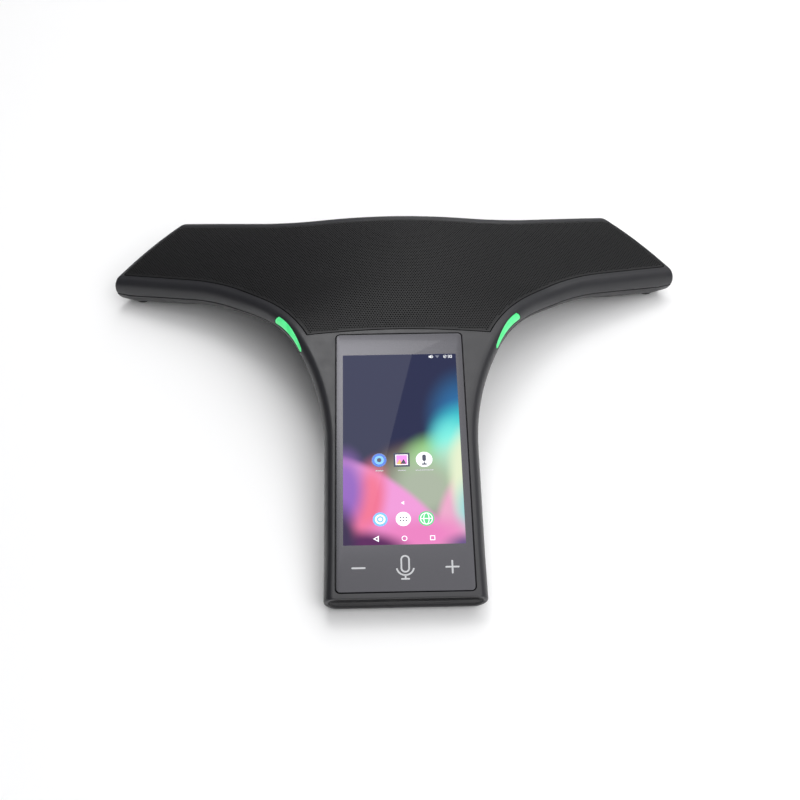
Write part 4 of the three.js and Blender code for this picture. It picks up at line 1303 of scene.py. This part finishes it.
def screw_head(node):
    """A pan head seen from below, with a six-lobed recess, and its shank."""
    low, high = node_plan_box(node)
    x, y = screw_place(node)
    rim = [(SCREW["head"] - 0.0006, 0.0), (SCREW["head"] - 0.0002, 0.0001), (SCREW["head"], 0.0004)]
    rim += [(SCREW["head"], SCREW["head_top"]), (SCREW["shank"], SCREW["head_top"])]
    section = [(radius, low.z + height) for radius, height in rim]
    section += [(SCREW["shank"], high.z - SCREW["taper"]), (SCREW["tip"], high.z)]
    head = loose(stack(disc_rings(x, y, section)))
    turn = np.radians(np.arange(0, 360, 6))
    lobes = RECESS["radius"] + RECESS["lobe"] * np.cos(6 * turn)
    star = np.column_stack([x + lobes * np.cos(turn), y + lobes * np.sin(turn)])
    combine(head, loose(stack([level_ring(star, low.z + z) for z in (-0.001, RECESS["depth"])])))
    return head


def rating_plate():
    low, high = node_plan_box("rating_plate")
    middle = [(low.x + high.x) / 2, (low.y + high.y) / 2]
    rings = []
    for inset, z in [(0.0, high.z), (0.0, low.z + 0.0001), (0.0001, low.z)]:
        width, height = high.x - low.x - 2 * inset, high.y - low.y - 2 * inset
        rings.append(level_ring(rounded_rect(width, height, PLATE_CORNER - inset) + middle, z))
    return stack(rings)


for name, (length, turned) in FEET.items():
    shape = foot(name, length, turned)
    add_piece(f"rubber_foot_{name}", shape, LOOKS["rubber"], slot="rubber", replaces=[f"foot_{name}"])
for k in range(1, 7):
    node = f"cover_screw_{k}"
    finish_piece(screw_head(node), f"screw_head_{k}", LOOKS["screw"], slot="steel", replaces=[node])
add_piece("rating_film", rating_plate(), LOOKS["label"], slot="label", replaces=["rating_plate"])

# ---- ports ----

PORT_FACE = BAY["y"] + 0.0019
PORT_NODES = ("network_socket", "usb_socket", "audio_socket")
PORT_CORNER = 0.0004
PANEL_CORNER = 0.0006
RESET = {"at": (0.027, 0.0126), "hole": 0.0038}
LOCK = {"at": (0.027, 0.0201), "hole": (0.007, 0.003), "corner": 0.0006}
NETWORK = {"x": -0.021, "mouth_z": 0.0163, "latch_z": 0.0117, "deep": 0.0136}
LAMP = {"reach": 0.0052, "z": 0.0105}
USB = {"mouth": (0.0126, 0.0052), "deep": 0.0116, "contact": 0.0023}
AUDIO = {"z": 0.0127, "hole": [(0.0028, 0.001), (0.0018, -0.0003), (0.0018, -0.011)]}
AUDIO_SLEEVE = [(0.0030, 0.00005), (0.0030, 0.0003), (0.0021, 0.0003), (0.0019, 0.00005)]


def seen_from_behind(node):
    """A CAD node's middle across and up, its width and height, and the limits of its depth."""
    low, high = node_plan_box(node)
    middle = np.array([(low.x + high.x) / 2, (low.z + high.z) / 2])
    return middle, high.x - low.x, high.z - low.z, (low.y, high.y)


def back_cutter(xz_at, depth=0.010):
    """Cuts a hole in the back with a broken edge. xz_at(grow) is its outline."""
    section = [(EASE + 0.001, 0.001), (0, -EASE), (0, -depth)]
    return loose(stack([facing_back(xz_at(grow), PORT_FACE + y) for grow, y in section]))


def port_holes():
    """Each hole's middle, width, height and corner radius."""
    holes = []
    for node in PORT_NODES:
        middle, width, height, _ = seen_from_behind(node)
        holes.append((middle, width + 2 * GAP, height + 2 * GAP, PORT_CORNER))
    holes.append((RESET["at"], RESET["hole"], RESET["hole"], RESET["hole"] / 2 - FLAT))
    holes.append((LOCK["at"], *LOCK["hole"], LOCK["corner"]))
    return holes


def plate_facing_back(node, corner_radius):
    """A block that fills a CAD node's box, with its edge at the back broken."""
    middle, width, height, (near, far) = seen_from_behind(node)
    rings = []
    for inset, y in [(0, near), (0, far - EASE), (EASE, far)]:
        xz = rounded_rect(width - 2 * inset, height - 2 * inset, corner_radius, 4) + middle
        rings.append(facing_back(xz, y))
    return loose(stack(rings)), far


def port_panel():
    panel, _ = plate_facing_back("port_panel", PANEL_CORNER)
    for middle, width, height, radius in port_holes():
        def hole(grow):
            return rounded_rect(width + 2 * grow, height + 2 * grow, radius + grow, 8) + middle

        combine(panel, back_cutter(hole))
    return panel


def eased_block(x, y, z, ease=0.00008):
    """A small block between limits along each axis, its four long edges and near end eased."""
    middle = [(x[0] + x[1]) / 2, (z[0] + z[1]) / 2]
    rings = []
    for inset, depth in [(ease, y[0]), (0, y[0] + ease), (0, y[1] - ease), (ease, y[1])]:
        width, height = x[1] - x[0] - 2 * inset, z[1] - z[0] - 2 * inset
        rings.append(facing_back(rounded_rect(width, height, ease * 1.2 - inset * 0.9, 3) + middle, depth))
    return stack(rings)


def hollow(case, face, x, z, width, height, depth):
    """Cuts a square mouth into a socket's case."""
    limits = (x - width / 2, x + width / 2), (face - depth, face + 0.001), (z - height / 2, z + height / 2)
    combine(case, loose(box_shape(*limits)))


def around(value, half):
    return value - half, value + half


def network_socket():
    case, face = plate_facing_back("network_socket", PORT_CORNER)
    x = NETWORK["x"]
    hollow(case, face, x, NETWORK["mouth_z"], 0.0118, 0.0082, NETWORK["deep"])
    hollow(case, face, x, NETWORK["latch_z"], 0.006, 0.0026, NETWORK["deep"])
    lamps = {"icon_green": x - LAMP["reach"], "icon_amber": x + LAMP["reach"]}
    for lamp_x in lamps.values():
        hollow(case, face, lamp_x, LAMP["z"], 0.0026, 0.0016, 0.0004)
    finish_piece(case, "network_case", LOOKS["zinc"], slot="zinc", replaces=["network_socket"])
    for k in range(8):
        reach = around(x + (k - 3.5) * 0.00102, 0.00018)
        contact = eased_block(reach, (face - 0.0134, face - 0.0035), (0.0192, 0.0195), 0.00005)
        add_piece(f"network_contact_{k + 1}", contact, LOOKS["gold"], slot="zinc")
    for k, (look, lamp_x) in enumerate(lamps.items()):
        sides = around(lamp_x, 0.0012), (face - 0.0005, face - 0.0002), around(LAMP["z"], 0.0007)
        window = eased_block(*sides)
        add_piece(f"network_lamp_{k + 1}", window, LOOKS[look], slot="light_lens")


def usb_socket():
    case, face = plate_facing_back("usb_socket", PORT_CORNER)
    (x, z), *_ = seen_from_behind("usb_socket")
    hollow(case, face, x, z, *USB["mouth"], USB["deep"])
    finish_piece(case, "usb_case", LOOKS["steel"], slot="steel", replaces=["usb_socket"])
    tongue = eased_block(around(x, 0.0055), (face - 0.0117, face - 0.0012), (z + 0.0001, z + 0.0019), 0.0003)
    add_piece("usb_tongue", tongue, LOOKS["black"], slot="insert")
    for k in range(4):
        reach = around(x + (k - 1.5) * USB["contact"], 0.0005)
        contact = eased_block(reach, (face - 0.0105, face - 0.002), (z - 0.0001, z + 0.0002), 0.00005)
        add_piece(f"usb_contact_{k + 1}", contact, LOOKS["gold"], slot="steel")


def round_rings(x, z, y, section):
    return [facing_back(circle_points(x, z, radius, 40), y + offset) for radius, offset in section]


def audio_socket():
    case, face = plate_facing_back("audio_socket", PORT_CORNER)
    x = seen_from_behind("audio_socket")[0][0]
    combine(case, loose(stack(round_rings(x, AUDIO["z"], face, AUDIO["hole"]))))
    finish_piece(case, "audio_case", LOOKS["black"], slot="insert", replaces=["audio_socket"])
    sleeve = hoop(round_rings(x, AUDIO["z"], face, AUDIO_SLEEVE))
    add_piece("audio_ring", sleeve, LOOKS["steel"], slot="steel")


def reset_button():
    """A pin with a dished end."""
    *_, (near, far) = seen_from_behind("reset_button")
    end = [(0.0016, -0.0004), (0.0014, -0.0001), (0.0010, 0.0), (0.0004, -0.0002)]
    return stack(round_rings(*RESET["at"], far, [(0.0016, near - far)] + end))


finish_piece(port_panel(), "rear_panel", LOOKS["base"], slot="base", replaces=["port_panel"])
network_socket()
usb_socket()
audio_socket()
cap = {"body": "reset", "slot": "insert", "replaces": ["reset_button"]}
add_piece("reset_cap", reset_button(), LOOKS["insert"], **cap)

# ---- stage, lights and camera ----

FLOOR_REACH = 4.0
WORLD = (0.12, 0.50)  # brightness of the room at its left and its right
EDGE_PANEL = (-0.157, 0.412, 1.3)
CAMERA = {"place": (-0.01204, -0.40938, 0.50390), "down": 50.504, "right": 1.759, "roll": 0.324}
LENS = {"length": 50.25, "sensor": 36}


def floor():
    corners = [(-1, -1), (1, -1), (1, 1), (-1, 1)]
    points = [(x * FLOOR_REACH, y * FLOOR_REACH, 0) for x, y in corners]
    obj = bpy.data.objects.new("floor", mesh_from(points, [[0, 1, 2, 3]]))
    bpy.context.scene.collection.objects.link(obj)
    look = Look("pale_floor", 0.6)
    look.paint(look.noise(3), (0.93, 0.93, 0.93), (0.95, 0.95, 0.95))
    obj.data.materials.append(look.material)


def ranged(tree, value, start, stop, low=0.0, high=1.0, easing="LINEAR"):
    """In a light's or the world's tree: a value carried from one range to another."""
    node = tree.nodes.new("ShaderNodeMapRange")
    node.interpolation_type = easing
    tree.links.new(value, node.inputs["Value"])
    for socket, number in zip(("From Min", "From Max", "To Min", "To Max"), (start, stop, low, high)):
        node.inputs[socket].default_value = number
    return node.outputs["Result"]


def part_of(tree, kind, output, axis):
    """One axis of an input node's vector."""
    split = tree.nodes.new("ShaderNodeSeparateXYZ")
    tree.links.new(tree.nodes.new(kind).outputs[output], split.inputs[0])
    return split.outputs[axis]


def area_light(name, place, aim, size, radiance, turn=0.0, fade=None):
    """A rectangular panel of a given radiance. fade = (from, to) dims it towards its lower end."""
    data = bpy.data.lights.new(name, "AREA")
    data.shape = "RECTANGLE"
    data.size, data.size_y = size
    data.energy = radiance * math.pi * size[0] * size[1]
    data.use_nodes = True
    light = bpy.data.objects.new(name, data)
    bpy.context.scene.collection.objects.link(light)
    light.visible_camera = False
    toward = (Vector(aim) - Vector(place)).to_track_quat("-Z", "Y").to_matrix().to_4x4()
    light.matrix_world = Matrix.Translation(place) @ toward @ Matrix.Rotation(math.radians(turn), 4, "Z")
    if fade:
        tree = data.node_tree
        along = part_of(tree, "ShaderNodeNewGeometry", "Parametric", "Y")
        strength = ranged(tree, along, *fade, easing="SMOOTHSTEP")
        tree.links.new(strength, tree.nodes["Emission"].inputs["Strength"])


def studio():
    """A pale room, dimmer to the left, with panels in front, overhead and behind."""
    world = bpy.data.worlds.new("studio")
    world.use_nodes = True
    tree = world.node_tree
    background = tree.nodes["Background"]
    across = part_of(tree, "ShaderNodeTexCoord", "Generated", "X")
    tree.links.new(ranged(tree, across, -0.9, 0.6, *WORLD), background.inputs["Strength"])
    background.inputs["Color"].default_value = (0.98, 0.98, 1.0, 1)
    bpy.context.scene.world = world
    area_light("front_panel", (0.95, -1.4, 1.7), (0, 0, 0), (1.7, 1.2), 2.8)
    area_light("overhead_panel", (0.60, 0.40, 1.7), (0.60, 0.40, 0), (2.2, 2.4), 1.45)
    area_light("back_panel", (0.25, 1.7, 1.15), (0.02, 0.06, 0.05), (0.7, 0.8), 1.6)
    # Its right edge is the slanting reflection on the glass.
    area_light("edge_panel", EDGE_PANEL, (*EDGE_PANEL[:2], 0), (0.4, 0.6), 4.0, turn=-15, fade=(0.0, 0.3))


def camera():
    data = bpy.data.cameras.new("camera")
    data.lens = LENS["length"]
    data.sensor_width = LENS["sensor"]
    obj = bpy.data.objects.new("camera", data)
    bpy.context.scene.collection.objects.link(obj)
    aim = Matrix.Rotation(math.radians(-CAMERA["right"]), 4, "Z")
    aim = aim @ Matrix.Rotation(math.radians(90 - CAMERA["down"]), 4, "X")
    aim = aim @ Matrix.Rotation(math.radians(CAMERA["roll"]), 4, "Z")
    obj.matrix_world = Matrix.Translation(CAMERA["place"]) @ aim
    bpy.context.scene.camera = obj


floor()
studio()
camera()
bpy.context.scene.view_settings.view_transform = "Standard"
